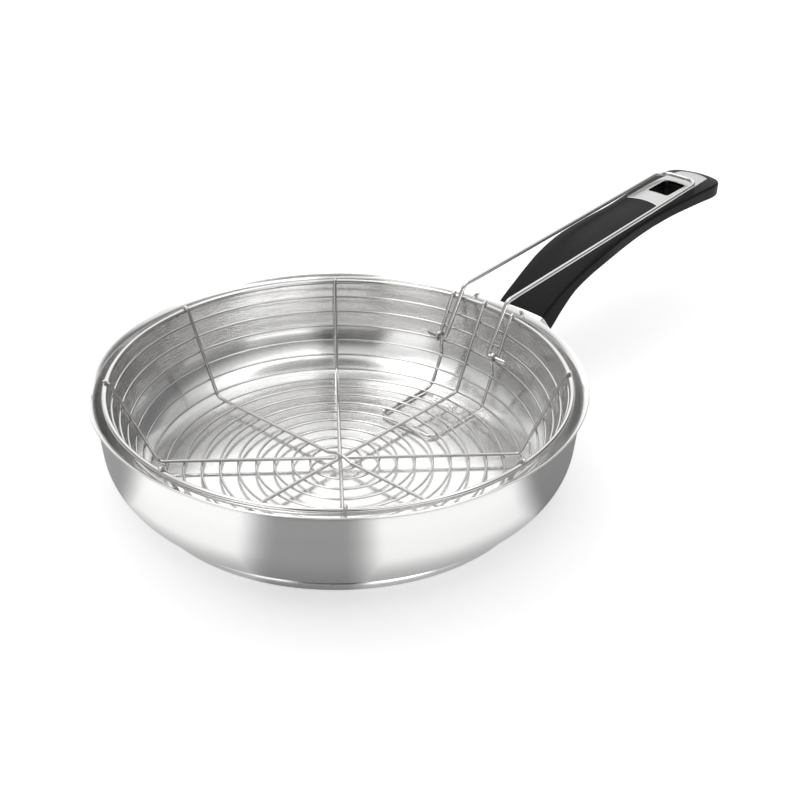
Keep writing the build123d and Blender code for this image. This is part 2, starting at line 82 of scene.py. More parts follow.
def rounded_line(corners: Corners, radii: Sequence[float], step: float) -> np.ndarray:
    """Points of a line whose inner corners are true arcs.

    An arc starts at the corner less the incoming direction times radius * tan(turn / 2), and its points
    are start + radius * (sin(a) * incoming + (1 - cos(a)) * inward) for a from 0 to the turn.

    Args:
        corners: The line's corners, first and last included, in two or three numbers each.
        radii: The bend radius at each inner corner.
        step: The longest distance between points on an arc.

    Returns:
        An array of points, with as many numbers each as the corners.
    """
    places = np.asarray(corners, float)
    runs = unit(np.diff(places, axis=0))
    pieces = [places[:1]]
    for corner, go_in, go_out, radius in zip(places[1:-1], runs[:-1], runs[1:], radii):
        turn = math.acos(float(np.clip(go_in @ go_out, -1.0, 1.0)))
        inward = unit(go_out - go_in * (go_in @ go_out))
        count = max(int(math.ceil(radius * turn / step)), 4)
        angles = np.linspace(0.0, turn, count + 1)[:, None]
        start = corner - go_in * radius * math.tan(turn / 2)
        pieces.append(start + radius * (np.sin(angles) * go_in + (1 - np.cos(angles)) * inward))
    pieces.append(places[-1:])
    return np.concatenate(pieces)


def smooth_through(values: np.ndarray, at: np.ndarray) -> np.ndarray:
    """A smooth curve through evenly numbered values.

    Between two values it is the cubic whose slopes at them are half the step from the value before to
    the value after.

    Args:
        values: One row for each station.
        at: Places along the curve, counted in stations.

    Returns:
        One row for each place.
    """
    slopes = np.gradient(values, axis=0)
    before = np.clip(np.floor(at).astype(int), 0, len(values) - 2)
    t = (at - before)[:, None]
    return (
        (2 * t**3 - 3 * t**2 + 1) * values[before]
        + (t**3 - 2 * t**2 + t) * slopes[before]
        + (3 * t**2 - 2 * t**3) * values[before + 1]
        + (t**3 - t**2) * slopes[before + 1]
    )


def carried_ring(path: np.ndarray, radii: np.ndarray, sides: int, lean: Point) -> np.ndarray:
    """Rings of points square to a path.

    A ring's point is path + radius * (cos(a) * first + sin(a) * second), where first is the lean vector
    crossed with the path's direction, and second is the direction crossed with first.

    Args:
        path: Points along the path.
        radii: The ring's radius at each of them.
        sides: Points in a ring.
        lean: A direction that the path never takes.

    Returns:
        A grid of points: path, ring, three numbers.
    """
    heading = unit(np.gradient(path, axis=0))
    first = unit(np.cross(np.asarray(lean, float), heading))
    second = np.cross(heading, first)
    angles = full_turn(sides)[None, :, None]
    around = np.cos(angles) * first[:, None] + np.sin(angles) * second[:, None]
    return path[:, None] + radii[:, None, None] * around


DOME_ANGLES = np.radians(np.array([25.0, 50.0, 70.0, 84.0]))


def rounded_ends(path: np.ndarray, radius: float) -> tuple[np.ndarray, np.ndarray]:
    """A path lengthened by a dome at each end, and the radius at each of its points.

    A dome's points lie at radius * sin(a) past the end and have the radius radius * cos(a).

    Args:
        path: Points along the wire's middle, up to where its domes start.
        radius: The wire's radius.

    Returns:
        The longer path and its radii.
    """
    angles = DOME_ANGLES[:, None]
    out_first = unit(path[:1] - path[1:2])
    out_last = unit(path[-1:] - path[-2:-1])
    first = (path[:1] + out_first * radius * np.sin(angles))[::-1]
    last = path[-1:] + out_last * radius * np.sin(angles)
    shrink = radius * np.cos(angles[:, 0])
    radii = np.concatenate([shrink[::-1], np.full(len(path), radius), shrink])
    return np.concatenate([first, path, last]), radii


def mesh_from_grid(name: str, grid: np.ndarray, closed_rows: bool, closed_columns: bool) -> Mesh:
    """A mesh with a vertex at each grid point and a face in each cell. Open ends of closed rows get a cap.

    The mesh's volume, the sum over its faces of corner . (corner x corner) / 6, says which way its faces
    point, and they are turned round where it is negative.

    Args:
        name: The mesh's name.
        grid: Points: row, column, three numbers.
        closed_rows: Whether the last row joins the first.
        closed_columns: Whether the last column joins the first.

    Returns:
        The new mesh, shaded smooth.
    """
    rows, columns = grid.shape[:2]
    index = np.arange(rows * columns).reshape(rows, columns)
    down = np.roll(index, -1, axis=0) if closed_rows else index[1:]
    here = index if closed_rows else index[:-1]
    right_here, right_down = np.roll(here, -1, axis=1), np.roll(down, -1, axis=1)
    cells = np.stack([here, right_here, right_down, down], axis=-1)
    if not closed_columns:
        cells = cells[:, :-1]
    quads = cells.reshape(-1, 4)
    points = grid.reshape(-1, 3)
    corners = points[quads]
    volume = float(np.einsum("ij,ij->", corners[:, 0], np.cross(corners[:, 1], corners[:, 2])))
    volume += float(np.einsum("ij,ij->", corners[:, 0], np.cross(corners[:, 2], corners[:, 3])))
    turned = volume < 0
    quads = quads[:, ::-1] if turned else quads
    faces = quads.tolist()
    if closed_columns and not closed_rows:
        first, last = index[0][::-1], index[-1]
        faces += [(first[::-1] if turned else first).tolist(), (last[::-1] if turned else last).tolist()]
    mesh = bpy.data.meshes.new(name)
    mesh.from_pydata(points.tolist(), [], faces)
    mesh.validate()
    mesh.polygons.foreach_set("use_smooth", np.ones(len(mesh.polygons), bool))
    mesh.update()
    return mesh


# Finishes


class Brushing(Enum):
    """Which way the fine marks of a brushed surface run."""

    AROUND = "around the pan's axis"
    ALONG = "along the handles"


class Graph:
    """Nodes of a material or of the world, added in order and joined by name."""

    def __init__(self, owner: Material | bpy.types.World) -> None:
        """Starts with the nodes that a new material or world holds."""
        owner.use_nodes = True
        self.owner = owner
        self.tree = owner.node_tree
        self.nodes = self.tree.nodes
        self.shader = self.nodes.get("Principled BSDF")

    def join(self, source: object, target: Socket) -> None:
        """Joins an output socket to an input socket, or writes a plain value into it."""
        if isinstance(source, Socket):
            self.tree.links.new(source, target)
        else:
            target.default_value = source

    def add(self, kind: str, *inputs: object, **values: object) -> bpy.types.Node:
        """Adds a node.

        Args:
            kind: The node's type, without its ShaderNode prefix.
            inputs: Sockets or plain values for its first input sockets, in order.
            values: Attributes of the node, and what goes into its inputs by name, with _ for a space.

        Returns:
            The new node.
        """
        node = self.nodes.new("ShaderNode" + kind)
        named = {}
        for key, value in values.items():
            if hasattr(node, key):
                setattr(node, key, value)
            else:
                named[node.inputs[key.replace("_", " ")]] = value
        for socket, value in (*zip(node.inputs, inputs), *named.items()):
            self.join(value, socket)
        return node

    def combine(self, operation: str, first: object, second: object) -> Socket:
        """The result of a Math node's operation on two sockets or numbers."""
        return self.add("Math", first, second, operation=operation).outputs[0]

    def times(self, first: object, second: object) -> Socket:
        """The product of two sockets or numbers."""
        return self.combine("MULTIPLY", first, second)

    def unit(self, source: Socket) -> Socket:
        """A vector made one unit long."""
        return self.add("VectorMath", source, operation="NORMALIZE").outputs[0]

    def noise(self, place: Socket, width: float, detail: float = 2.0, roughness: float = 0.5) -> Socket:
        """Noise around a half, with grains about one width wide.

        Args:
            place: The place's socket.
            width: The grains' width, in metres.
            detail: How many times finer grains are laid over it.
            roughness: The share of the finer grains.

        Returns:
            The noise's socket.
        """
        node = self.add("TexNoise", Vector=place, Scale=1.0 / width, Detail=detail, Roughness=roughness)
        return node.outputs[0]

    def spread(self, source: Socket, low: float, high: float) -> Socket:
        """A value from 0 to 1 spread between two limits: low + (high - low) * value."""
        return self.add("MapRange", source, To_Min=low, To_Max=high).outputs["Result"]

    def ramp(self, source: Socket, start: float, end: float) -> Socket:
        """A smooth step from 0 to 1: t * t * (3 - 2 * t), with t the value's place from start to end."""
        step = self.add("MapRange", source, interpolation_type="SMOOTHSTEP", From_Min=start, From_Max=end)
        return step.outputs["Result"]

    def towards(self, source: Socket, azimuth: float, height: float) -> Socket:
        """The dot product of a vector with a direction.

        Args:
            source: The vector's socket.
            azimuth: The direction's azimuth, in degrees.
            height: Its height over the horizon, in degrees.

        Returns:
            The product's socket.
        """
        turn, lift = math.radians(azimuth), math.radians(height)
        aim = (math.cos(turn) * math.cos(lift), math.sin(turn) * math.cos(lift), math.sin(lift))
        return self.add("VectorMath", source, aim, operation="DOT_PRODUCT").outputs["Value"]

    def level(self, source: Socket) -> Socket:
        """A vector laid level and made one unit long."""
        return self.unit(self.add("VectorMath", source, (1.0, 1.0, 0.0), operation="MULTIPLY").outputs[0])

    def cone(self, source: Socket, azimuth: float, height: float, radius: float, blur: float) -> Socket:
        """1 within an angle of a direction and 0 outside it, with a smooth step between.

        Args:
            source: A unit vector's socket.
            azimuth: The direction's azimuth, in degrees.
            height: Its height over the horizon, in degrees.
            radius: From the direction to the middle of the step, in degrees.
            blur: Half the step's width, in degrees.

        Returns:
            The share's socket.
        """
        outside, inside = math.radians(radius + blur), math.radians(max(radius - blur, 0.0))
        return self.ramp(self.towards(source, azimuth, height), math.cos(outside), math.cos(inside))

    def bump(self, height: Socket, strength: float, distance: float) -> None:
        """Bumps the shader's surface.

        Args:
            height: The height's socket.
            strength: Share of the full bump.
            distance: The full bump, in metres.
        """
        node = self.add("Bump", Height=height, Strength=strength, Distance=distance)
        self.join(node.outputs["Normal"], self.shader.inputs["Normal"])


@dataclass(frozen=True)
class Finish:
    """What every finish has: a name, a colour and a roughness."""

    name: str
    colour: tuple[float, float, float]
    roughness: float

    def start(self, metallic: float) -> Graph:
        """A graph whose shader has this finish's colour and roughness.

        Args:
            metallic: 1 for bare metal, 0 for anything else.

        Returns:
            The graph.
        """
        graph = Graph(bpy.data.materials.new(self.name))
        graph.join((*self.colour, 1.0), graph.shader.inputs["Base Color"])
        graph.join(metallic, graph.shader.inputs["Metallic"])
        graph.join(self.roughness, graph.shader.inputs["Roughness"])
        return graph


@dataclass(frozen=True)
class BrushedSteel(Finish):
    """Steel with fine marks that run one way, and slow changes of tone across them.

    Reflections are drawn out across the marks by the stretch, and the turn, a share of a whole turn, lays
    them square to the marks.
    """

    brushing: Brushing = Brushing.AROUND
    mark_width: float = 0.5 * MM
    mark_depth: float = 0.0007 * MM
    mark_bump: float = 0.6
    mark_detail: float = 3.0
    mark_finer: float = 0.6
    broad_share: float = 0.06
    slow_around: float = 0.0008
    slow_along: float = 0.02
    roughness_swing: float = 0.03
    tone_swing: float = 0.03
    stretch: float = 0.88
    turn: float = 0.25

    def along(self, graph: Graph) -> Socket:
        """Direction of the marks in the world: axis x place around the axis, or the handles' x.

        Args:
            graph: The graph to add to.

        Returns:
            The direction's socket.
        """
        if self.brushing is Brushing.AROUND:
            pair = (0.0, 0.0, 1.0), graph.add("TexCoord").outputs["Object"]
        else:
            pair = (0.0, 1.0, 0.0), (0.0, 0.0, 1.0)
        turned = graph.add("VectorMath", *pair, operation="CROSS_PRODUCT")
        placed = graph.add("VectorTransform", turned.outputs[0], vector_type="VECTOR",
                           convert_from="OBJECT", convert_to="WORLD")
        return graph.unit(placed.outputs[0])

    def across(self, graph: Graph) -> Socket:
        """Place across the marks, as a vector with a slow run along them.

        Around the axis it is (distance from the axis, height, small share of the angle); along the
        handles it is (small share of x, y, z).

        Args:
            graph: The graph to add to.

        Returns:
            The vector's socket.
        """
        x, y, z = graph.add("SeparateXYZ", graph.add("TexCoord").outputs["Object"]).outputs
        if self.brushing is Brushing.AROUND:
            squares = graph.combine("ADD", graph.combine("POWER", x, 2.0), graph.combine("POWER", y, 2.0))
            angle = graph.combine("ABSOLUTE", graph.combine("ARCTAN2", y, x), 0.0)
            parts = graph.combine("POWER", squares, 0.5), z, graph.times(angle, self.slow_around)
        else:
            parts = graph.times(x, self.slow_along), y, z
        return graph.add("CombineXYZ", *parts).outputs[0]

    def material(self) -> Material:
        """The finish as a material."""
        graph = self.start(1.0)
        shader = graph.shader.inputs
        across = self.across(graph)
        fine = graph.noise(across, self.mark_width, self.mark_detail, self.mark_finer)
        broad = graph.noise(across, self.mark_width / self.broad_share)
        low, high = self.roughness - self.roughness_swing, self.roughness + self.roughness_swing
        graph.join(graph.spread(fine, low, high), shader["Roughness"])
        tone = graph.add("Mix", broad, data_type="RGBA")
        for socket, share in zip(tone.inputs[6:8], (1.0 - self.tone_swing, 1.0 + self.tone_swing)):
            socket.default_value = (*[min(channel * share, 1.0) for channel in self.colour], 1.0)
        graph.join(tone.outputs[2], shader["Base Color"])
        graph.bump(fine, self.mark_bump, self.mark_depth)
        graph.join(self.along(graph), shader["Tangent"])
        graph.join(self.stretch, shader["Anisotropic"])
        graph.join(self.turn, shader["Anisotropic Rotation"])
        return graph.owner


@dataclass(frozen=True)
class BrightWire(Finish):
    """Polished steel wire, with the faint unevenness of drawing and welding."""

    grain: float = 3.0 * MM
    smoothest: float = 0.8
    roughest: float = 1.25

    def material(self) -> Material:
        """The finish as a material."""
        graph = self.start(1.0)
        noise = graph.noise(graph.add("TexCoord").outputs["Object"], self.grain)
        low, high = self.roughness * self.smoothest, self.roughness * self.roughest
        graph.join(graph.spread(noise, low, high), graph.shader.inputs["Roughness"])
        return graph.owner


@dataclass(frozen=True)
class MouldedPlastic(Finish):
    """Matt moulded plastic with a fine even grain."""

    grain: float = 1.1 * MM
    grain_depth: float = 0.15 * MM
    grain_bump: float = 0.5
    grain_detail: float = 3.0
    grain_finer: float = 0.6
    broad_share: float = 0.03
    roughness_swing: float = 0.05
    shine: float = 0.18
    speckle: float = 0.9
    speck_range: tuple[float, float] = (0.30, 0.70)

    def material(self) -> Material:
        """The finish as a material."""
        graph = self.start(0.0)
        shader = graph.shader.inputs
        graph.join(self.shine, shader["Specular IOR Level"])
        place = graph.add("TexCoord").outputs["Object"]
        fine = graph.noise(place, self.grain, self.grain_detail, self.grain_finer)
        broad = graph.noise(place, self.grain / self.broad_share)
        low, high = self.roughness - self.roughness_swing, self.roughness + self.roughness_swing
        graph.join(graph.spread(broad, low, high), shader["Roughness"])
        speck = graph.ramp(fine, *self.speck_range)
        dark, light = self.colour[0] * (1 - self.speckle), self.colour[0] * (1 + self.speckle)
        graph.join(graph.spread(speck, dark, light), shader["Base Color"])
        graph.bump(fine, self.grain_bump, self.grain_depth)
        return graph.owner


BODY_STEEL = BrushedSteel("body_steel", (0.83, 0.83, 0.825), 0.19)
BASE_STEEL = BrushedSteel("base_steel", (0.84, 0.84, 0.835), 0.18, mark_width=0.4 * MM)
BRACKET_STEEL = BrushedSteel("bracket_steel", (0.80, 0.80, 0.795), 0.26, Brushing.ALONG)
PLATE_STEEL = BrushedSteel("plate_steel", (0.58, 0.58, 0.575), 0.30, Brushing.ALONG, mark_width=0.35 * MM)
SCREW_STEEL = BrightWire("screw_steel", (0.66, 0.66, 0.66), 0.28)
WIRE_STEEL = BrightWire("wire_steel", (0.64, 0.63, 0.62), 0.13)
CORE_ALUMINIUM = BrightWire("core_aluminium", (0.72, 0.73, 0.74), 0.45)
INSERT_BRASS = BrightWire("insert_brass", (0.72, 0.55, 0.26), 0.32)
GRIP_PLASTIC = MouldedPlastic("grip_plastic", (0.0036, 0.0036, 0.0039), 0.55)


# Pieces


def new_object(name: str, data: bpy.types.ID) -> bpy.types.Object:
    """An object with the given mesh or camera, linked to the scene."""
    thing = bpy.data.objects.new(name, data)
    bpy.context.scene.collection.objects.link(thing)
    return thing


def add_piece(name: str, mesh: Mesh, material: Material, body: str, slot: str, *nodes: str) -> None:
    """Adds a piece to the scene in place of CAD nodes.

    Args:
        name: The piece's name.
        mesh: Its mesh, in the CAD's frame.
        material: Its material.
        body: The CAD body that it rides on.
        slot: The record's material slot; not used.
        nodes: The CAD nodes that it replaces.
    """
    piece = new_object(name, mesh)
    mesh.materials.clear()
    mesh.materials.append(material)
    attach(piece, body)
    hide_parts(*nodes)
    log.info("%s: %d faces", name, len(mesh.polygons))


def dress_node(node: str, material: Material) -> None:
    """Gives a CAD node that stays in view its material.

    Args:
        node: The node's name.
        material: The material for each of its slots.
    """
    piece = frame["nodes"][node]
    for slot in piece.material_slots:
        slot.link = "OBJECT"
        slot.material = material
    log.info("%s: CAD node, %s", node, material.name)


def wire_mesh(name: str, path: np.ndarray, radius: float, sides: int, lean: Point) -> Mesh:
    """A round wire with domed ends.

    Args:
        name: The mesh's name.
        path: Points along its middle, from end face to end face.
        radius: The wire's radius.
        sides: Faces around it.
        lean: A direction that the wire never takes.

    Returns:
        The wire's mesh.
    """
    inner = path.copy()
    inner[0] += unit(path[1] - path[0]) * radius
    inner[-1] += unit(path[-2] - path[-1]) * radius
    middle, radii = rounded_ends(inner, radius)
    return mesh_from_grid(name, carried_ring(middle, radii, sides, lean), False, True)


def turned_mesh(name: str, profile: np.ndarray, segments: int, closed: bool = False) -> Mesh:
    """A profile turned about the pan's axis.

    Args:
        name: The mesh's name.
        profile: Points of the profile: distance from the axis and height.
        segments: Faces around the axis.
        closed: Whether the profile's last point joins its first.

    Returns:
        The turned mesh, with a cap on each end of a profile that isn't closed.
    """
    angles = full_turn(segments)[None, :]
    radius, height = profile[:, :1], profile[:, 1:]
    grid = np.stack([radius * np.cos(angles), radius * np.sin(angles), height + 0 * angles], axis=-1)
    return mesh_from_grid(name, grid, closed, True)


@dataclass
class PanVessel:
    """The drawn shell with its flared lip, and the bonded base under it."""

    floor_under: float = 4.6 * MM
    sheet: float = 1.0 * MM
    foot_radius: float = 131.0 * MM
    side_top_radius: float = 136.9 * MM
    side_top_height: float = 60.6 * MM
    rim_radius: float = 140.0 * MM
    rim_height: float = 62.6 * MM
    side_bend: float = 32.0 * MM
    lip_bend: float = 3.6 * MM
    lip_roundness: float = 0.8
    lip_points: int = 9
    cap_radius: float = 113.7 * MM
    cap_height: float = 6.0 * MM
    cap_edge: float = 1.6 * MM
    cap_sheet: float = 0.6 * MM
    axis_gap: float = 0.2 * MM
    step: float = 1.0 * MM
    segments: int = 256

    def outer_profile(self) -> np.ndarray:
        """The shell's outer face, from the axis to the lip: distance from the axis and height."""
        corners = [
            (self.axis_gap, self.floor_under),
            (self.foot_radius, self.floor_under),
            (self.side_top_radius, self.side_top_height),
            (self.rim_radius, self.rim_height),
        ]
        return rounded_line(corners, (self.side_bend, self.lip_bend), self.step)

    def shell_mesh(self) -> Mesh:
        """The shell: the outer face, a half-round lip edge, and the inner face a sheet's thickness in."""
        outer = self.outer_profile()
        heading = unit(np.gradient(outer, axis=0))
        inward = np.stack([-heading[:, 1], heading[:, 0]], axis=-1)
        inner = outer + inward * self.sheet
        half = self.sheet / 2
        angles = np.linspace(0.0, math.pi, self.lip_points)[1:-1, None]
        middle = outer[-1] + inward[-1] * half
        edge = middle - inward[-1] * half * np.cos(angles)
        edge += heading[-1] * half * self.lip_roundness * np.sin(angles)
        profile = np.concatenate([outer, edge, inner[::-1]])
        profile[0, 0] = profile[-1, 0] = self.axis_gap
        return turned_mesh("pan_shell", profile, self.segments)

    def cap_mesh(self) -> Mesh:
        """The base cap: a shallow cup with a rounded foot."""
        inner_radius = self.cap_radius - self.cap_sheet
        corners = (self.axis_gap, 0.0), (self.cap_radius, 0.0), (self.cap_radius, self.cap_height)
        outside = rounded_line(corners, (self.cap_edge,), self.step / 4)
        back = [
            (self.cap_radius - self.cap_sheet / 2, self.cap_height + self.cap_sheet / 6),
            (inner_radius, self.cap_height),
            (inner_radius, self.cap_sheet + self.cap_edge / 2),
            (inner_radius - self.cap_edge / 2, self.cap_sheet),
            (self.axis_gap, self.cap_sheet),
        ]
        return turned_mesh("cap", np.concatenate([outside, back]), self.segments)

    def build(self) -> None:
        """Adds the shell and the cap, and dresses the hidden core."""
        steel = BODY_STEEL.material()
        add_piece("drawn_shell", self.shell_mesh(), steel, "pan", "drawn_steel", "pan_body")
        add_piece("pressed_cap", self.cap_mesh(), BASE_STEEL.material(), "pan", "drawn_steel", "base_cap")
        dress_node("base_core", CORE_ALUMINIUM.material())


@dataclass
class Basket:
    """The welded wire basket: rim, ribs, spiral, and the support wire with its two eyes."""

    rim_wire: float = 3.0 * MM
    rib_wire: float = 2.2 * MM
    spiral_wire: float = 1.5 * MM
    support_wire: float = 2.2 * MM
    weld_sink: float = 0.2 * MM
    rim_radius: float = 130.8 * MM
    rim_height: float = 61.7 * MM
    floor_radius: float = 105.0 * MM
    support_height: float = 7.2 * MM
    rib_bend: float = 5.0 * MM
    joggle_flat: float = 3.0 * MM
    joggle_run: float = 9.0 * MM
    joggle_bend: float = 6.0 * MM
    spiral_start: float = 8.4 * MM
    floor_pitch: float = 10.4 * MM
    side_pitch: float = 9.25 * MM
    support_reach: float = 57.0 * MM
    support_half_width: float = 20.5 * MM
    support_corner: float = 5.0 * MM
    eye_pitch: float = 2.8 * MM
    eye_radius: float = 2.61 * MM
    crossing_margin: float = 1.3 * MM
    step: float = 0.6 * MM
    eye_points: int = 48
    rim_segments: int = 256
    rim_sides: int = 20
    rib_sides: int = 16
    spiral_sides: int = 12
    spiral_points: int = 1900
    spiral_spacing: float = 0.75
    lean: Point = (0.5, 0.7, 0.5)

    def __post_init__(self) -> None:
        """Works out the wires' heights, the side's slope, the spiral's turns and its heights by the eyes."""
        self.spiral_height = self.support_height + (self.support_wire + self.spiral_wire) / 2 - self.weld_sink
        self.rib_height = self.spiral_height + (self.spiral_wire + self.rib_wire) / 2 - self.weld_sink
        self.hook_radius = (self.rim_wire + self.rib_wire) / 2 - self.weld_sink
        rise = self.rim_height - self.rib_height
        spread = self.rim_radius - self.floor_radius
        self.side_angle = math.atan2(rise, spread) + math.asin(self.hook_radius / math.hypot(rise, spread))
        self.spiral_offset = (self.rib_wire + self.spiral_wire) / 2 - self.weld_sink
        self.support_offset = self.spiral_offset + (self.spiral_wire + self.support_wire) / 2 - self.weld_sink
        self.spiral_bend = self.rib_bend + self.spiral_offset
        corner = self.side_radius(self.spiral_height, self.spiral_offset)
        floor_end = corner - self.spiral_bend * math.tan(self.side_angle / 2)
        top = self.rim_height - (self.rim_wire + self.spiral_wire) / 2 + self.weld_sink
        bend_top = self.spiral_height + self.spiral_bend * (1 - math.cos(self.side_angle))
        climb = self.spiral_bend * self.side_angle + (top - bend_top) / math.sin(self.side_angle)
        self.floor_turns = (floor_end - self.spiral_start) / self.floor_pitch
        self.spiral_turns = self.floor_turns + climb / self.side_pitch
        top_pass = math.floor(self.spiral_turns - 0.5) + 0.5
        self.pass_heights = self.spiral_sections(top_pass - np.arange(1, 4))[1].tolist()

    def side_radius(self, height: float, offset: float = 0.0) -> float:
        """Distance from the axis to the basket's side line, moved outward by an offset square to it."""
        run = (height - self.rib_height) / math.tan(self.side_angle)
        return self.floor_radius + run + offset / math.sin(self.side_angle)

    def side_x(self, height: float, y: float, offset: float = 0.0) -> float:
        """X of the basket's side line at a height, where y is constant."""
        return math.sqrt(self.side_radius(height, offset) ** 2 - y**2)

    def rib_end(self, sign: int) -> list[Point]:
        """Corner, hook and end of a rib on one side."""
        hook_z = self.rim_height + self.hook_radius
        return [
            (sign * self.floor_radius, 0.0, self.rib_height),
            (sign * self.side_radius(hook_z), 0.0, hook_z),
            (sign * (self.rim_radius + self.rim_wire / 2), 0.0, hook_z),
        ]

    def through_rib(self, middle: list[Point]) -> np.ndarray:
        """Path of a rib from rim to rim, with the corners of its middle as given."""
        corners = [*reversed(self.rib_end(-1)), *middle, *self.rib_end(1)]
        bends = [self.joggle_bend] * len(middle)
        radii = [self.hook_radius, self.rib_bend, *bends, self.rib_bend, self.hook_radius]
        return rounded_line(corners, radii, self.step)

    def half_rib(self) -> np.ndarray:
        """Path of a rib from where it meets the long rib to the rim."""
        start = self.rib_wire / 2 * (1 + math.cos(math.pi / 4)) / math.sin(math.pi / 4) - self.weld_sink
        corners = [(start, 0.0, self.rib_height), *self.rib_end(1)]
        return rounded_line(corners, (self.rib_bend, self.hook_radius), self.step)

    def joggle(self) -> list[Point]:
        """Corners of the cross rib's rise over the long rib."""
        high = self.rib_height + self.rib_wire - self.weld_sink
        return [
            (-self.joggle_run, 0.0, self.rib_height),
            (-self.joggle_flat, 0.0, high),
            (self.joggle_flat, 0.0, high),
            (self.joggle_run, 0.0, self.rib_height),
        ]

    def spiral_sections(self, turns: np.ndarray) -> tuple[np.ndarray, np.ndarray]:
        """Radius and height of the spiral after numbers of turns.

        On the floor the radius grows by the floor pitch each turn. Past the floor's end the spiral climbs
        a round corner, and then the side line, by the side pitch each turn.

        Args:
            turns: Numbers of turns.

        Returns:
            The radii and the heights.
        """
        bend = self.spiral_bend
        run = np.maximum(turns - self.floor_turns, 0.0) * self.side_pitch
        angle = np.minimum(run / bend, self.side_angle)
        past = np.maximum(run - bend * self.side_angle, 0.0)
        flat = self.spiral_start + np.minimum(turns, self.floor_turns) * self.floor_pitch
        radius = flat + bend * np.sin(angle) + past * math.cos(self.side_angle)
        height = self.spiral_height + bend * (1 - np.cos(angle)) + past * math.sin(self.side_angle)
        return radius, height

    def spiral_path(self) -> np.ndarray:
        """Path of the spiral: it starts opposite the handles and climbs anticlockwise to the rim."""
        turns = self.spiral_turns * np.linspace(0.0, 1.0, self.spiral_points) ** self.spiral_spacing
        radius, height = self.spiral_sections(turns)
        angle = 2 * math.pi * (turns + 0.5)
        return np.stack([radius * np.cos(angle), radius * np.sin(angle), height], axis=-1)

    def pin_place(self) -> tuple[float, float]:
        """X and Z of the pins' axis, midway between the second and third turns below the rim."""
        height = (self.pass_heights[0] + self.pass_heights[1]) / 2
        middle_y = self.support_half_width + self.eye_pitch / 2
        return self.side_x(height, middle_y) - self.eye_radius / math.sin(self.side_angle), height

    def support_leg(self, sign: int) -> tuple[np.ndarray, np.ndarray, np.ndarray]:
        """Lower corners, eye and upper corners of one leg of the support wire.

        The eye is one turn of a helix about the pin's axis: out * cos(a) + up * sin(a), while y moves from
        the lower run's place to the upper run's.

        Args:
            sign: -1 for the leg towards the camera, 1 for the other.

        Returns:
            The three runs of points.
        """
        pin_x, pin_z = self.pin_place()
        lower_y = sign * self.support_half_width
        rise = sign * self.eye_pitch
        up = np.array([math.cos(self.side_angle), 0.0, math.sin(self.side_angle)])
        out = np.array([math.sin(self.side_angle), 0.0, -math.cos(self.side_angle)])
        pin = np.array([pin_x, lower_y, pin_z])
        foot = pin + out * self.eye_radius
        head = foot + np.array([0.0, rise, 0.0])
        low_z = self.pass_heights[2] + self.crossing_margin
        high_z = self.pass_heights[1] - self.crossing_margin
        corner_x = self.side_x(self.support_height, self.support_half_width, self.support_offset)
        lower = np.array([
            (corner_x, lower_y, self.support_height),
            (self.side_x(low_z, lower_y, self.support_offset), lower_y, low_z),
            foot + up * ((high_z - foot[2]) / math.sin(self.side_angle)),
            foot,
        ])
        angles = full_turn(self.eye_points)[1:, None]
        along = np.array([[0.0, 1.0, 0.0]]) * rise * angles / (2 * math.pi)
        eye = pin + along + (out * np.cos(angles) + up * np.sin(angles)) * self.eye_radius
        hook_z = self.rim_height + self.hook_radius
        hook_x = head[0] + (hook_z - head[2]) / math.tan(self.side_angle)
        upper_y = lower_y + rise
        end_x = math.sqrt((self.rim_radius + self.rim_wire / 2) ** 2 - upper_y**2)
        upper = np.array([head, (hook_x, upper_y, hook_z), (end_x, upper_y, hook_z)])
        return lower, eye, upper

    def support_path(self) -> np.ndarray:
        """Path of the support wire: over the rim, round an eye, under the floor and up the other side."""
        right_lower, right_eye, right_upper = self.support_leg(-1)
        left_lower, left_eye, left_upper = self.support_leg(1)
        inner = [
            (self.support_reach, -self.support_half_width, self.support_height),
            (self.support_reach, self.support_half_width, self.support_height),
        ]
        corners = np.concatenate([right_lower[::-1], inner, left_lower])
        floor_bend = self.rib_bend + self.support_offset
        bends = [self.rib_bend, self.rib_bend, floor_bend, self.support_corner]
        under = rounded_line(corners, bends + bends[::-1], self.step)
        right_top = rounded_line(right_upper[::-1], (self.hook_radius,), self.step / 2)
        left_top = rounded_line(left_upper, (self.hook_radius,), self.step / 2)
        return np.concatenate([right_top, right_eye[::-1], under[1:-1], left_eye, left_top])

    def rim_mesh(self) -> Mesh:
        """The rim: a closed ring of round wire."""
        angles = full_turn(self.rim_sides)
        circle = np.stack([np.cos(angles), np.sin(angles)], axis=-1) * self.rim_wire / 2
        return turned_mesh("rim", circle + (self.rim_radius, self.rim_height), self.rim_segments, True)

    def rib_mesh(self, name: str, path: np.ndarray, turn: float) -> Mesh:
        """A rib, turned about the pan's axis by an angle in degrees."""
        mesh = wire_mesh(name, path, self.rib_wire / 2, self.rib_sides, (0.0, 1.0, 0.0))
        mesh.transform(Matrix.Rotation(math.radians(turn), 4, "Z"))
        return mesh

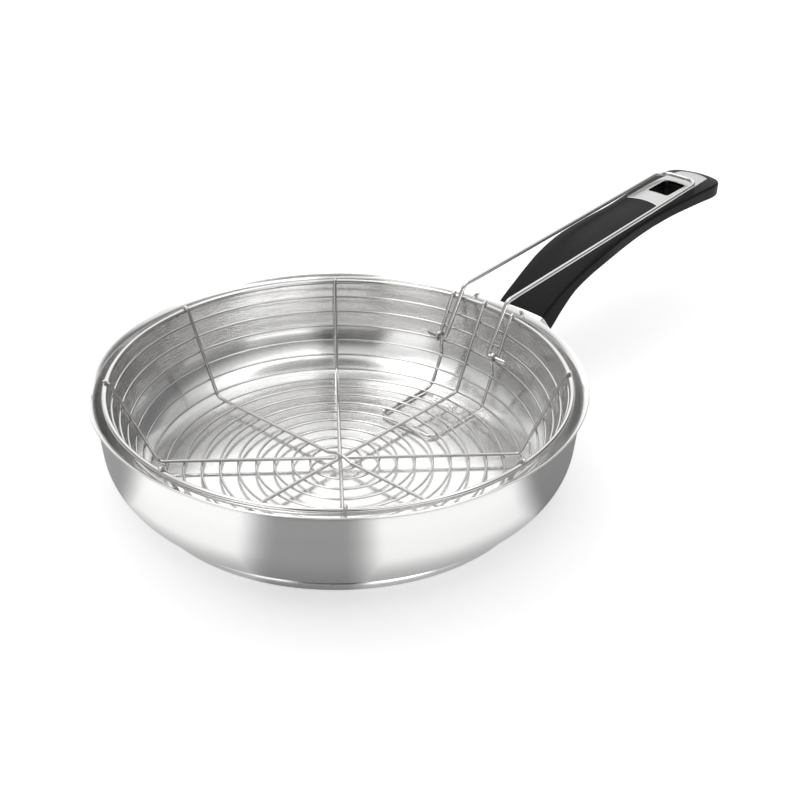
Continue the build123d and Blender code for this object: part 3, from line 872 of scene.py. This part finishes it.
    def build(self) -> None:
        """Adds every wire of the basket."""
        steel = WIRE_STEEL.material()
        rib_long = self.rib_mesh("rib_long", self.through_rib([]), 0.0)
        rib_cross = self.rib_mesh("rib_cross", self.through_rib(self.joggle()), 90.0)
        path, radius = self.spiral_path(), self.spiral_wire / 2
        spiral = wire_mesh("spiral", path, radius, self.spiral_sides, (0.0, 0.0, 1.0))
        support = wire_mesh("support", self.support_path(), self.support_wire / 2, self.rib_sides, self.lean)
        wires = [
            ("rim_ring", self.rim_mesh(), "basket_rim"),
            ("rib_long", rib_long, "long_rib"),
            ("spiral", spiral, "spiral_wire"),
            ("support", support, "handle_support"),
            ("rib_cross", rib_cross, "cross_rib"),
        ]
        for number in range(1, 5):
            half = self.rib_mesh("rib_half", self.half_rib(), number * 90.0 - 45.0)
            wires.append((f"rib_half_{number}", half, f"diagonal_rib_{number}"))
        for name, mesh, node in wires:
            add_piece(name, mesh, steel, "basket", "bright_wire", node)


@dataclass
class FoldingHandle:
    """The long wire loop that folds into the basket, with its ends turned out through the eyes."""

    basket: Basket
    wire: float = 2.8 * MM
    leg_y: float = 17.1 * MM
    pin_length: float = 14.0 * MM
    pin_bend: float = 2.2 * MM
    leg_length: float = 35.4 * MM
    leg_bend: float = 5.0 * MM
    loop_half_width: float = 15.4 * MM
    loop_corner: float = 9.0 * MM
    loop_draw: float = 3.5 * MM
    loop_lift: float = 1.6 * MM
    stop_gap: float = 0.5 * MM
    step: float = 0.5 * MM
    sides: int = 20

    def leg_angle(self, pin_x: float, pin_z: float) -> float:
        """Slope of the legs, which touch a circle about the rim wire.

        It is the slope from the pin to the rim plus asin(circle's radius / distance between them).

        Args:
            pin_x: X of the pins' axis.
            pin_z: Its height.

        Returns:
            The angle over the horizon.
        """
        run = math.sqrt(self.basket.rim_radius**2 - self.leg_y**2) - pin_x
        rise = self.basket.rim_height - pin_z
        gap = (self.basket.rim_wire + self.wire) / 2 + self.stop_gap
        return math.atan2(rise, run) + math.asin(gap / math.hypot(run, rise))

    def build(self) -> None:
        """Adds the wire loop, from the pins' axis that the frame's hinge gives to the loop's end."""
        hinge = next(joint for joint in frame["joints"] if joint["name"] == "handle_fold")
        pin_x, pin_z = hinge["pos_m"][0], hinge["pos_m"][2]
        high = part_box("basket_handle")[1]
        loop_x = high.x - self.wire / 2 - self.loop_draw
        loop_z = high.z - self.wire / 2 + self.loop_lift
        angle = self.leg_angle(pin_x, pin_z)
        bend_x = pin_x + self.leg_length * math.cos(angle)
        bend_z = pin_z + self.leg_length * math.sin(angle)
        right = [
            (pin_x, -self.leg_y - self.pin_length, pin_z),
            (pin_x, -self.leg_y, pin_z),
            (bend_x, -self.leg_y, bend_z),
            (loop_x, -self.loop_half_width, loop_z),
        ]
        left = [(x, -y, z) for x, y, z in reversed(right)]
        bends = [self.pin_bend, self.leg_bend, self.loop_corner]
        path = rounded_line(right + left, bends + bends[::-1], self.step)
        mesh = wire_mesh("handle_loop", path, self.wire / 2, self.sides, self.basket.lean)
        add_piece("handle_loop", mesh, WIRE_STEEL.material(), "basket_handle", "bright_wire", "basket_handle")


@dataclass
class Grip:
    """The arched black grip, its bare inlay plate, and the fittings that hold it."""

    root_x: float = 168.6 * MM
    root_height: float = 37.2 * MM
    reach: float = 206.9 * MM
    rise: float = 38.2 * MM
    half_width: float = 20.9 * MM
    side: float = 15.5 * MM
    belly: float = 7.0 * MM
    crown: float = 1.5 * MM
    corner: float = 1.8 * MM
    slot_x: float = 332.5 * MM
    slot_length: float = 24.0 * MM
    slot_width: float = 16.2 * MM
    slot_corner: float = 2.2 * MM
    plate_thickness: float = 1.2 * MM
    plate_proud: float = 0.3 * MM
    plate_before: float = 18.0 * MM
    plate_after: float = 27.0 * MM
    plate_half_width: float = 13.9 * MM
    plate_bow: float = 2.4 * MM
    plate_shoulder: float = 3.2 * MM
    plate_tip_half_width: float = 11.2 * MM
    rows_per_station: int = 10
    crown_points: int = 25
    corner_points: int = 7
    side_points: int = 5
    bore_sides: int = 48
    tip_angles: tuple[float, ...] = (22.0, 45.0, 68.0, 85.0)
    tip_depth: float = 1.254 * MM
    edge_places: tuple[float, ...] = (0.0, 0.01, 0.03)
    edge_drops: tuple[float, ...] = (0.5, 0.15, 0.03)
    flat_places: tuple[float, float, int] = (0.06, 0.94, 10)
    plate_power: float = 40.0
    sharp_edge: float = 40.0
    sharp_plate_edge: float = 50.0
    cutter_heights: tuple[float, float] = (30.0 * MM, 120.0 * MM)
    screw_place: float = 13.0 * MM
    bore_radius: float = 4.5 * MM
    bore_seat: float = 4.35 * MM
    bore_reach: float = 20.0 * MM

    # The collar's rings, front to back and in again: place along the spine from the root, and growth, in mm
    collar_rings: tuple[tuple[float, float], ...] = (
        (-3.0, -0.1), (-2.9, 0.25), (-2.6, 0.5), (-1.0, 0.5), (0.0, 0.5), (1.0, 0.5), (2.0, 0.5), (3.0, 0.5),
        (4.0, 0.5), (4.4, 0.45), (4.6, 0.25), (4.65, -0.6), (3.0, -0.8), (0.0, -0.8), (-0.4, -0.8),
    )

    # Each station: place along the reach, height, half width, side, belly and crown, as shares of the sizes
    station_shares: tuple[tuple[float, ...], ...] = (
        (0.000, 0.000, 0.853, 1.000, 0.25, 1.0),
        (0.037, 0.151, 0.858, 0.935, 0.38, 1.0),
        (0.083, 0.326, 0.868, 0.768, 0.58, 1.0),
        (0.143, 0.525, 0.902, 0.568, 0.80, 1.0),
        (0.216, 0.684, 0.956, 0.490, 0.93, 1.0),
        (0.315, 0.812, 0.971, 0.503, 1.00, 1.0),
        (0.440, 0.902, 0.912, 0.490, 1.00, 1.0),
        (0.566, 0.952, 0.863, 0.465, 0.95, 1.0),
        (0.692, 0.998, 0.907, 0.458, 0.87, 1.0),
        (0.793, 1.018, 0.975, 0.490, 0.80, 1.0),
        (0.869, 1.018, 1.000, 0.529, 0.74, 1.0),
        (0.928, 1.010, 1.010, 0.550, 0.64, 0.9),
        (0.968, 1.000, 0.930, 0.530, 0.50, 0.8),
        (0.998, 0.990, 0.760, 0.470, 0.36, 0.6),
        (1.016, 0.984, 0.520, 0.390, 0.22, 0.4),
    )

    def stations(self) -> np.ndarray:
        """Smooth stations along the grip.

        Returns:
            A row for each: x, z, half width, half side, belly, crown, and x and z of the spine's direction.
        """
        shares = np.asarray(self.station_shares)
        at = np.linspace(0.0, len(shares) - 1, (len(shares) - 1) * self.rows_per_station + 1)
        scales = self.reach, self.rise, self.half_width, self.side / 2, self.belly, self.crown
        sizes = smooth_through(shares, at) * scales + (self.root_x, self.root_height, 0.0, 0.0, 0.0, 0.0)
        return np.column_stack([sizes, unit(np.gradient(sizes[:, :2], axis=0))])

    def sections(self, stations: np.ndarray, growth: float | np.ndarray = 0.0) -> np.ndarray:
        """Sections of the grip, square to its spine.

        The top is the parabola top + crown * (1 - s * s) for s from -1 to 1 across. The corners are
        quarter circles, the sides are straight, and the belly is the parabola -top - belly * (1 - s * s),
        drawn at s = sin of evenly spaced angles. A point is (x - up * rise, across, z + up * run), where
        run and rise are the spine's direction.

        Args:
            stations: Rows as stations() gives them.
            growth: What is added to the half width and the half side, one number or a column.

        Returns:
            Points: station, point, three numbers.
        """
        x, z, half, top, belly, crown, run, rise = stations.T[..., None]
        half, top = half + growth, top + growth
        corner = np.minimum(self.corner, np.minimum(top, half / 2))
        s = np.sin(np.linspace(-math.pi / 2, math.pi / 2, self.crown_points))[None, :]
        quarter = np.linspace(0.0, math.pi / 2, self.corner_points)[None, 1:-1]
        flat = half - corner
        crown_line = np.stack([flat * s, top + crown * (1 - s * s)], axis=-1)
        right = np.stack([flat + corner * np.sin(quarter), top - corner * (1 - np.cos(quarter))], axis=-1)
        left = right[:, ::-1] * (-1.0, 1.0)
        t = np.linspace(0.0, 1.0, self.side_points)[None, :]
        down = np.stack([half + 0 * t, (top - corner) * (1 - t) - top * t], axis=-1)
        keel = np.stack([-half * s[:, 1:-1], -top - belly * (1 - s[:, 1:-1] ** 2)], axis=-1)
        outline = np.concatenate([crown_line, right, down, keel, down[:, ::-1] * (-1.0, 1.0), left], axis=1)
        across, up = outline[..., 0], outline[..., 1]
        return np.stack([x - up * rise, across, z + up * run], axis=-1)

    def blank_grid(self) -> np.ndarray:
        """The grip before it is cut: its sections, with a rounded tip."""
        stations = self.stations()
        body = self.sections(stations)
        turns = np.radians(np.array(self.tip_angles))[:, None, None]
        centre = body[-1].mean(axis=0)
        ahead = np.array([stations[-1, 6], 0.0, stations[-1, 7]])
        tip = centre + (body[-1] - centre) * np.cos(turns) + ahead * self.tip_depth * np.sin(turns)
        return np.concatenate([body, tip])

    def collar_grid(self) -> np.ndarray:
        """The steel collar around the grip's root: grown sections, on the spine drawn on straight."""
        place, growth = (np.array(self.collar_rings) * MM).T
        stations = self.stations()
        steps = np.linalg.norm(np.diff(stations[:, :2], axis=0), axis=1)
        length = np.concatenate([[0.0], np.cumsum(steps)])
        inside = np.maximum(place, 0.0)
        rings = np.column_stack([np.interp(inside, length, column) for column in stations.T])
        rings[:, :2] += (place - inside)[:, None] * rings[:, 6:]
        return self.sections(rings, growth[:, None])

    def slot_outline(self, count: int, between: int) -> np.ndarray:
        """Points of the slot's outline seen from above: quarter circles joined by straight runs.

        Args:
            count: Points in each quarter circle.
            between: Points in each straight run, without its ends.

        Returns:
            X and Y of the outline's points.
        """
        half_x, half_y = self.slot_length / 2 - self.slot_corner, self.slot_width / 2 - self.slot_corner
        quarter = np.linspace(0.0, math.pi / 2, count)
        arcs = [
            np.stack([sx * half_x + self.slot_corner * np.cos(quarter + turn),
                      sy * half_y + self.slot_corner * np.sin(quarter + turn)], axis=-1)
            for sx, sy, turn in ((1, 1, 0.0), (-1, 1, math.pi / 2), (-1, -1, math.pi), (1, -1, 1.5 * math.pi))
        ]
        along = np.linspace(0.0, 1.0, between + 2)[1:-1, None]
        runs = [arc[-1] + (after[0] - arc[-1]) * along for arc, after in zip(arcs, arcs[1:] + arcs[:1])]
        joined = [part for pair in zip(arcs, runs) for part in pair]
        return np.concatenate(joined) + np.array([self.slot_x, 0.0])

    def on_crown(self, plan: np.ndarray, over: float | np.ndarray) -> np.ndarray:
        """Places in plan, raised over the grip's crowned top, which is level past its rounded corners.

        Args:
            plan: X and Y of the places, along the last axis.
            over: Their heights over the top.

        Returns:
            Points, three numbers each.
        """
        x, y = plan[..., 0], plan[..., 1]
        sizes = self.stations()
        slope = np.gradient(sizes[:, 1], sizes[:, 0])
        rise = np.interp(x, sizes[:, 0], sizes[:, 1] + sizes[:, 3] * np.sqrt(1 + slope**2))
        half = np.interp(x, sizes[:, 0], sizes[:, 2]) - self.corner
        crown = np.interp(x, sizes[:, 0], sizes[:, 5]) * (1 - np.clip(y / half, -1.0, 1.0) ** 2)
        return np.stack([x, y, rise + crown + over], axis=-1)

    def plate_outline(self, directions: np.ndarray) -> np.ndarray:
        """The plate's outline, one point in each given direction from the slot's middle.

        Its distance in a direction is the smooth least, (sum of r ** -p) ** (-1 / p), of the distances r to
        the straight sides, the near end's bow x = -near + bow * (1 - (y / half) ** 2), the two tapered
        sides and the far end's circle. The bow counts only behind the slot's middle and the circle only
        ahead of it; elsewhere they are a metre away.

        Args:
            directions: X and Y of unit vectors.

        Returns:
            X and Y of the outline's points.
        """
        dx, dy = directions[:, 0], directions[:, 1]
        tiny, away, half = 1e-9, 1.0, self.plate_half_width
        behind, ahead = -0.1, 0.3
        side = half / np.maximum(np.abs(dy), tiny)
        near = self.slot_length / 2 + self.plate_before
        bent = self.plate_bow * dy**2 / half**2
        inside = np.maximum(dx**2 - 4 * bent * (near - self.plate_bow), 0.0)
        bow = np.where(dx < behind, 2 * (near - self.plate_bow) / (np.abs(dx) + np.sqrt(inside)), away)
        far = self.slot_length / 2 + self.plate_after
        shoulder_y = self.plate_tip_half_width
        run_x, run_y = self.plate_after - self.plate_shoulder, half - shoulder_y
        taper = run_y * self.slot_length / 2 + run_x * half
        taper = taper / np.maximum(run_y * dx + run_x * np.abs(dy), tiny)
        end_radius = (shoulder_y**2 + self.plate_shoulder**2) / (2 * self.plate_shoulder)
        centre = far - end_radius
        round_end = dx * centre + np.sqrt(np.maximum((dx * centre) ** 2 + end_radius**2 - centre**2, 0.0))
        end = np.where(dx > ahead, np.maximum(round_end, half), away)
        shares = np.stack([side, bow, taper, end]) / half
        reach = half * np.sum(shares**-self.plate_power, axis=0) ** (-1 / self.plate_power)
        return directions * reach[:, None] + (self.slot_x, 0.0)

    def plate_mesh(self) -> Mesh:
        """The plate: a ring of surface between the slot and the outline, with rounded edges and a flat back.

        A point of the top is slot * (1 - v) + outline * v at the grip's crown plus how proud the plate is.
        """
        slot = self.slot_outline(count=13, between=22)
        outline = self.plate_outline(unit(slot - (self.slot_x, 0.0)))
        edge, flat = np.array(self.edge_places), np.linspace(*self.flat_places)
        v = np.concatenate([edge, flat, 1.0 - edge[::-1]])
        drop = np.array([*self.edge_drops, *(0.0 * flat), *self.edge_drops[::-1]]) * self.plate_proud
        top_plan = slot[None] * (1 - v[:, None, None]) + outline[None] * v[:, None, None]
        top = self.on_crown(top_plan, self.plate_proud - drop[:, None])
        back = self.on_crown(np.stack([outline, slot]), -self.plate_thickness)
        mesh = mesh_from_grid("plate", np.concatenate([top, back]), True, True)
        mesh.set_sharp_from_angle(angle=math.radians(self.sharp_plate_edge))
        return mesh

    def slot_cutter(self) -> bpy.types.Object:
        """A prism of the slot's outline that reaches through the grip, for cutting and then removed."""
        outline = self.slot_outline(count=9, between=0)
        grid = np.stack([np.insert(outline, 2, height, axis=1) for height in self.cutter_heights])
        return new_object("slot_cutter", mesh_from_grid("slot_cutter", grid, False, True))

    def bore_cutter(self) -> bpy.types.Object:
        """A round prism from the screw's seat down past the belly, for cutting and then removed."""
        run, rise = self.stations()[0, 6:]
        along, up = np.array([run, 0.0, rise]), np.array([-rise, 0.0, run])
        centre = self.screw_place * along + (self.root_x, 0.0, self.root_height)
        turn = full_turn(self.bore_sides)[:, None]
        circle = centre + self.bore_radius * (np.cos(turn) * along + np.sin(turn) * (0.0, 1.0, 0.0))
        grid = np.stack([circle - depth * up for depth in (self.bore_seat, self.bore_reach)])
        return new_object("bore_cutter", mesh_from_grid("bore_cutter", grid, False, True))

    def grip_mesh(self) -> Mesh:
        """The grip with its slot cut through and its screw's bore cut up from below."""
        blank = new_object("grip_blank", mesh_from_grid("grip", self.blank_grid(), False, True))
        cutters = self.slot_cutter(), self.bore_cutter()
        for cutter in cutters:
            cut = blank.modifiers.new(cutter.name, "BOOLEAN")
            cut.operation = "DIFFERENCE"
            cut.solver = "EXACT"
            cut.object = cutter
        bpy.context.view_layer.update()
        mesh = bpy.data.meshes.new_from_object(blank.evaluated_get(bpy.context.evaluated_depsgraph_get()))
        for helper in (*cutters, blank):
            bpy.data.objects.remove(helper)
        mesh.name = "grip_body"
        mesh.polygons.foreach_set("use_smooth", np.ones(len(mesh.polygons), bool))
        mesh.set_sharp_from_angle(angle=math.radians(self.sharp_edge))
        return mesh

    def build(self) -> None:
        """Adds the grip and its plate, and dresses the fittings."""
        add_piece("moulded_grip", self.grip_mesh(), GRIP_PLASTIC.material(), "pan", "black_plastic", "grip")
        plate = PLATE_STEEL.material()
        add_piece("inlay_plate", self.plate_mesh(), plate, "pan", "plate_steel", "hanger_plate")
        bracket = BRACKET_STEEL.material()
        collar = mesh_from_grid("collar", self.collar_grid(), False, True)
        collar.set_sharp_from_angle(angle=math.radians(self.sharp_edge))
        add_piece("steel_collar", collar, bracket, "pan", "fitting_steel", "flame_guard")
        dress_node("handle_bracket", bracket)
        screw = SCREW_STEEL.material()
        dress_node("grip_screw", screw)
        dress_node("lock_washer", screw)
        dress_node("thread_insert", INSERT_BRASS.material())


class Mirrors(Enum):
    """Over how many mirroring surfaces light has come when it shows a card."""

    ANY = "any number"
    FEW = "one or two"
    MANY = "three or more"


@dataclass(frozen=True)
class Card:
    """A dark or bright card far off beside the pan, which only the steel mirrors. Angles are in degrees."""

    azimuth: float
    half_width: float
    low: float
    high: float
    blur: float
    strength: float
    mirrors: Mirrors = Mirrors.ANY

    def light(self, graph: Graph, level: Socket, height: Socket, many: Socket) -> Socket:
        """Light there as a share of the surroundings'.

        It is 1 + (strength - 1) * sector * (step up at low) * (step down at high).

        Args:
            graph: The world's graph.
            level: The level part of the direction, one unit long.
            height: The sine of its height over the horizon.
            many: 1 for light that came over three or more mirrors, else 0.

        Returns:
            The share's socket.
        """
        low, high, blur = np.sin(np.radians((self.low, self.high, self.blur))).tolist()
        above = graph.ramp(height, low - blur, low + blur)
        below = graph.ramp(height, high + blur, high - blur)
        sector = graph.cone(level, self.azimuth, 0.0, self.half_width, self.blur)
        card = graph.times(graph.times(above, below), sector)
        if self.mirrors is Mirrors.MANY:
            card = graph.times(card, many)
        elif self.mirrors is Mirrors.FEW:
            card = graph.times(card, graph.combine("SUBTRACT", 1.0, many))
        return graph.spread(card, 1.0, self.strength)


@dataclass
class Studio:
    """The pale floor, the white surroundings, the soft lights and the camera."""

    floor_side: float = 8.0
    floor_drop: float = 0.2 * MM
    lens: float = 67.405
    sensor: float = 36.0
    camera_place: Point = (-0.531307, -0.51391, 0.472112)
    yaw: float = 41.3905
    pitch: float = -29.7715
    roll: float = 0.6713
    paper: float = 0.8
    paper_glow: float = 0.54
    # The floor's glow seen only in the steel's reflections: painted reflection, brighter than its own
    # lighting
    paper_in_steel: float = 0.65
    fill: float = 0.24
    key: float = 1.0
    key_azimuth: float = 62.0
    key_height: float = 62.0
    key_lobe: tuple[float, float] = (0.3, 1.0)
    surroundings: float = 1.0
    many_mirrors: tuple[float, float] = (3.2, 3.8)
    # Painted reflections: floor sectors darkened only for rays the steel mirrors; azimuth, half width and
    # blur in degrees, and share of the light
    painted_floor_sectors: tuple[tuple[float, float, float, float], ...] = (
        (215.0, 15.5, 7.0, 0.30),
        (316.0, 30.0, 8.0, 0.24),
        (133.0, 17.0, 9.0, 0.30),
    )
    # Painted shade round the pan, seen only in the steel's reflections: where it starts and ends from the
    # axis, in metres, and its share
    floor_shade: tuple[float, float, float] = (0.118, 0.172, 0.54)
    # Distances from the axis, in metres, over which the painted sectors and painted shade fade out
    painted_floor_end: tuple[float, float] = (0.23, 0.32)
    cards: tuple[Card, ...] = (
        Card(322.0, 50.0, -8.0, 16.0, 6.0, 0.22),
        Card(299.0, 75.0, 16.0, 42.0, 5.0, 0.18),
        Card(217.0, 17.0, -8.0, 50.0, 5.0, 0.12),
        Card(256.0, 16.0, -8.0, 18.0, 5.0, 2.6),
        Card(132.0, 42.0, -5.0, 38.0, 6.0, 0.36),
        Card(186.0, 8.0, -8.0, 24.0, 5.0, 1.4),
        Card(43.0, 30.0, 12.0, 56.0, 8.0, 1.4),
        Card(148.0, 49.0, 55.0, 80.0, 4.0, 4.6, Mirrors.MANY),
        Card(240.0, 26.0, 40.0, 62.0, 5.0, 0.25, Mirrors.MANY),
        Card(185.0, 32.0, 20.0, 42.0, 5.0, 0.8, Mirrors.MANY),
        Card(203.0, 38.0, 54.0, 90.0, 5.0, 0.30, Mirrors.FEW),
    )
    ceiling: tuple[float, float, float] = (52.0, 70.0, 3.4)
    ceiling_gap: tuple[float, float, float, float, float] = (340.0, 84.0, 16.0, 3.0, 0.05)

    def floor(self) -> None:
        """Adds the floor: a flat sheet, white to the camera, that still takes the pan's shadow; in the
        steel's reflections it glows, with painted shade round the pan and painted dark sectors.
        """
        half = self.floor_side / 2
        low = -self.floor_drop
        grid = np.array([[(-half, -half, low), (half, -half, low)], [(-half, half, low), (half, half, low)]])
        mesh = mesh_from_grid("floor", grid, False, False)
        graph = Graph(bpy.data.materials.new("floor_paper"))
        graph.nodes.remove(graph.shader)
        path = graph.add("LightPath").outputs
        place = graph.add("TexCoord").outputs["Object"]
        level = graph.level(place)
        away = graph.add("VectorMath", place, operation="LENGTH").outputs["Value"]
        # Painted shade: to the steel's reflections the floor is darker near the pan, and darker still in
        # painted sectors
        near, far, shade = self.floor_shade
        card = graph.spread(graph.ramp(away, near, far), shade, 1.0)
        for azimuth, half_width, blur, share in self.painted_floor_sectors:
            sector = graph.cone(level, azimuth, 0.0, half_width, blur)
            card = graph.combine("MINIMUM", card, graph.spread(sector, 1.0, share))
        card = graph.combine("MAXIMUM", card, graph.ramp(away, *self.painted_floor_end))
        # Only rays that the steel mirrors see the painted shade, the painted sectors and the floor's extra
        # glow
        glossy = path["Is Glossy Ray"]
        tone = graph.combine("ADD", graph.combine("SUBTRACT", 1.0, glossy), graph.times(glossy, card))
        seen = graph.times(path["Is Camera Ray"], self.paper_glow)
        mirrored = graph.times(glossy, graph.times(card, self.paper_in_steel))
        paper = graph.add("BsdfDiffuse", Color=graph.times(tone, self.paper))
        glow = graph.add("Emission", Strength=graph.combine("ADD", seen, mirrored))
        both = graph.add("AddShader", paper.outputs[0], glow.outputs[0])
        graph.join(both.outputs[0], graph.nodes["Material Output"].inputs["Surface"])
        mesh.materials.append(graph.owner)
        floor = new_object("floor", mesh)

    def world(self) -> None:
        """Makes the surroundings: white to the camera, white with cards in the steel, and soft to the rest.

        The light on plain surfaces is fill + key * ramp(direction . key's direction).
        """
        world = bpy.data.worlds.new("studio")
        bpy.context.scene.world = world
        graph = Graph(world)
        direction = graph.add("TexCoord").outputs["Generated"]
        level = graph.level(direction)
        height = graph.towards(direction, 0.0, 90.0)
        start, end, bright = self.ceiling
        rise = graph.ramp(height, math.sin(math.radians(start)), math.sin(math.radians(end)))
        *place, strength = self.ceiling_gap
        overhead = graph.spread(rise, self.surroundings, bright)
        mirrored = graph.times(overhead, graph.spread(graph.cone(direction, *place), 1.0, strength))
        path = graph.add("LightPath").outputs
        many = graph.ramp(path["Ray Depth"], *self.many_mirrors)
        for card in self.cards:
            mirrored = graph.times(mirrored, card.light(graph, level, height, many))
        lobe = graph.ramp(graph.towards(direction, self.key_azimuth, self.key_height), *self.key_lobe)
        soft = graph.spread(lobe, self.fill, self.fill + self.key)
        seen = graph.combine("MAXIMUM", path["Is Camera Ray"], path["Is Transmission Ray"])
        glossy = path["Is Glossy Ray"]
        rest = graph.combine("SUBTRACT", graph.combine("SUBTRACT", 1.0, seen), glossy)
        total = graph.combine("ADD", seen, graph.times(glossy, mirrored))
        total = graph.combine("ADD", total, graph.times(rest, soft))
        background = graph.nodes["Background"].inputs
        graph.join((1.0, 1.0, 1.0, 1.0), background["Color"])
        graph.join(total, background["Strength"])

    def camera(self) -> None:
        """Adds the camera. Its three directions come from its yaw, pitch and roll."""
        yaw, pitch, roll = (math.radians(angle) for angle in (self.yaw, self.pitch, self.roll))
        level = np.array([math.sin(yaw), -math.cos(yaw), 0.0])
        ahead = np.array([math.cos(yaw), math.sin(yaw), 0.0])
        forward = ahead * math.cos(pitch) + np.array([0.0, 0.0, math.sin(pitch)])
        lifted = np.cross(level, forward)
        right = level * math.cos(roll) + lifted * math.sin(roll)
        up = lifted * math.cos(roll) - level * math.sin(roll)
        data = bpy.data.cameras.new("camera")
        data.lens = self.lens
        data.sensor_width = self.sensor
        data.sensor_fit = "HORIZONTAL"
        camera = new_object("camera", data)
        turned = Matrix(np.column_stack([right, up, -forward]).tolist()).to_4x4()
        camera.matrix_world = Matrix.Translation(self.camera_place) @ turned
        bpy.context.scene.camera = camera

    def build(self) -> None:
        """Adds the whole studio."""
        self.floor()
        self.world()
        self.camera()
        bpy.context.scene.view_settings.view_transform = "Standard"


def main() -> None:
    """Builds the object's pieces in order, then the studio."""
    logging.basicConfig(level=logging.INFO, format="%(message)s")
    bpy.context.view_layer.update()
    PanVessel().build()
    basket = Basket()
    basket.build()
    FoldingHandle(basket).build()
    Grip().build()
    Studio().build()


if __name__ == "__main__":
    main()
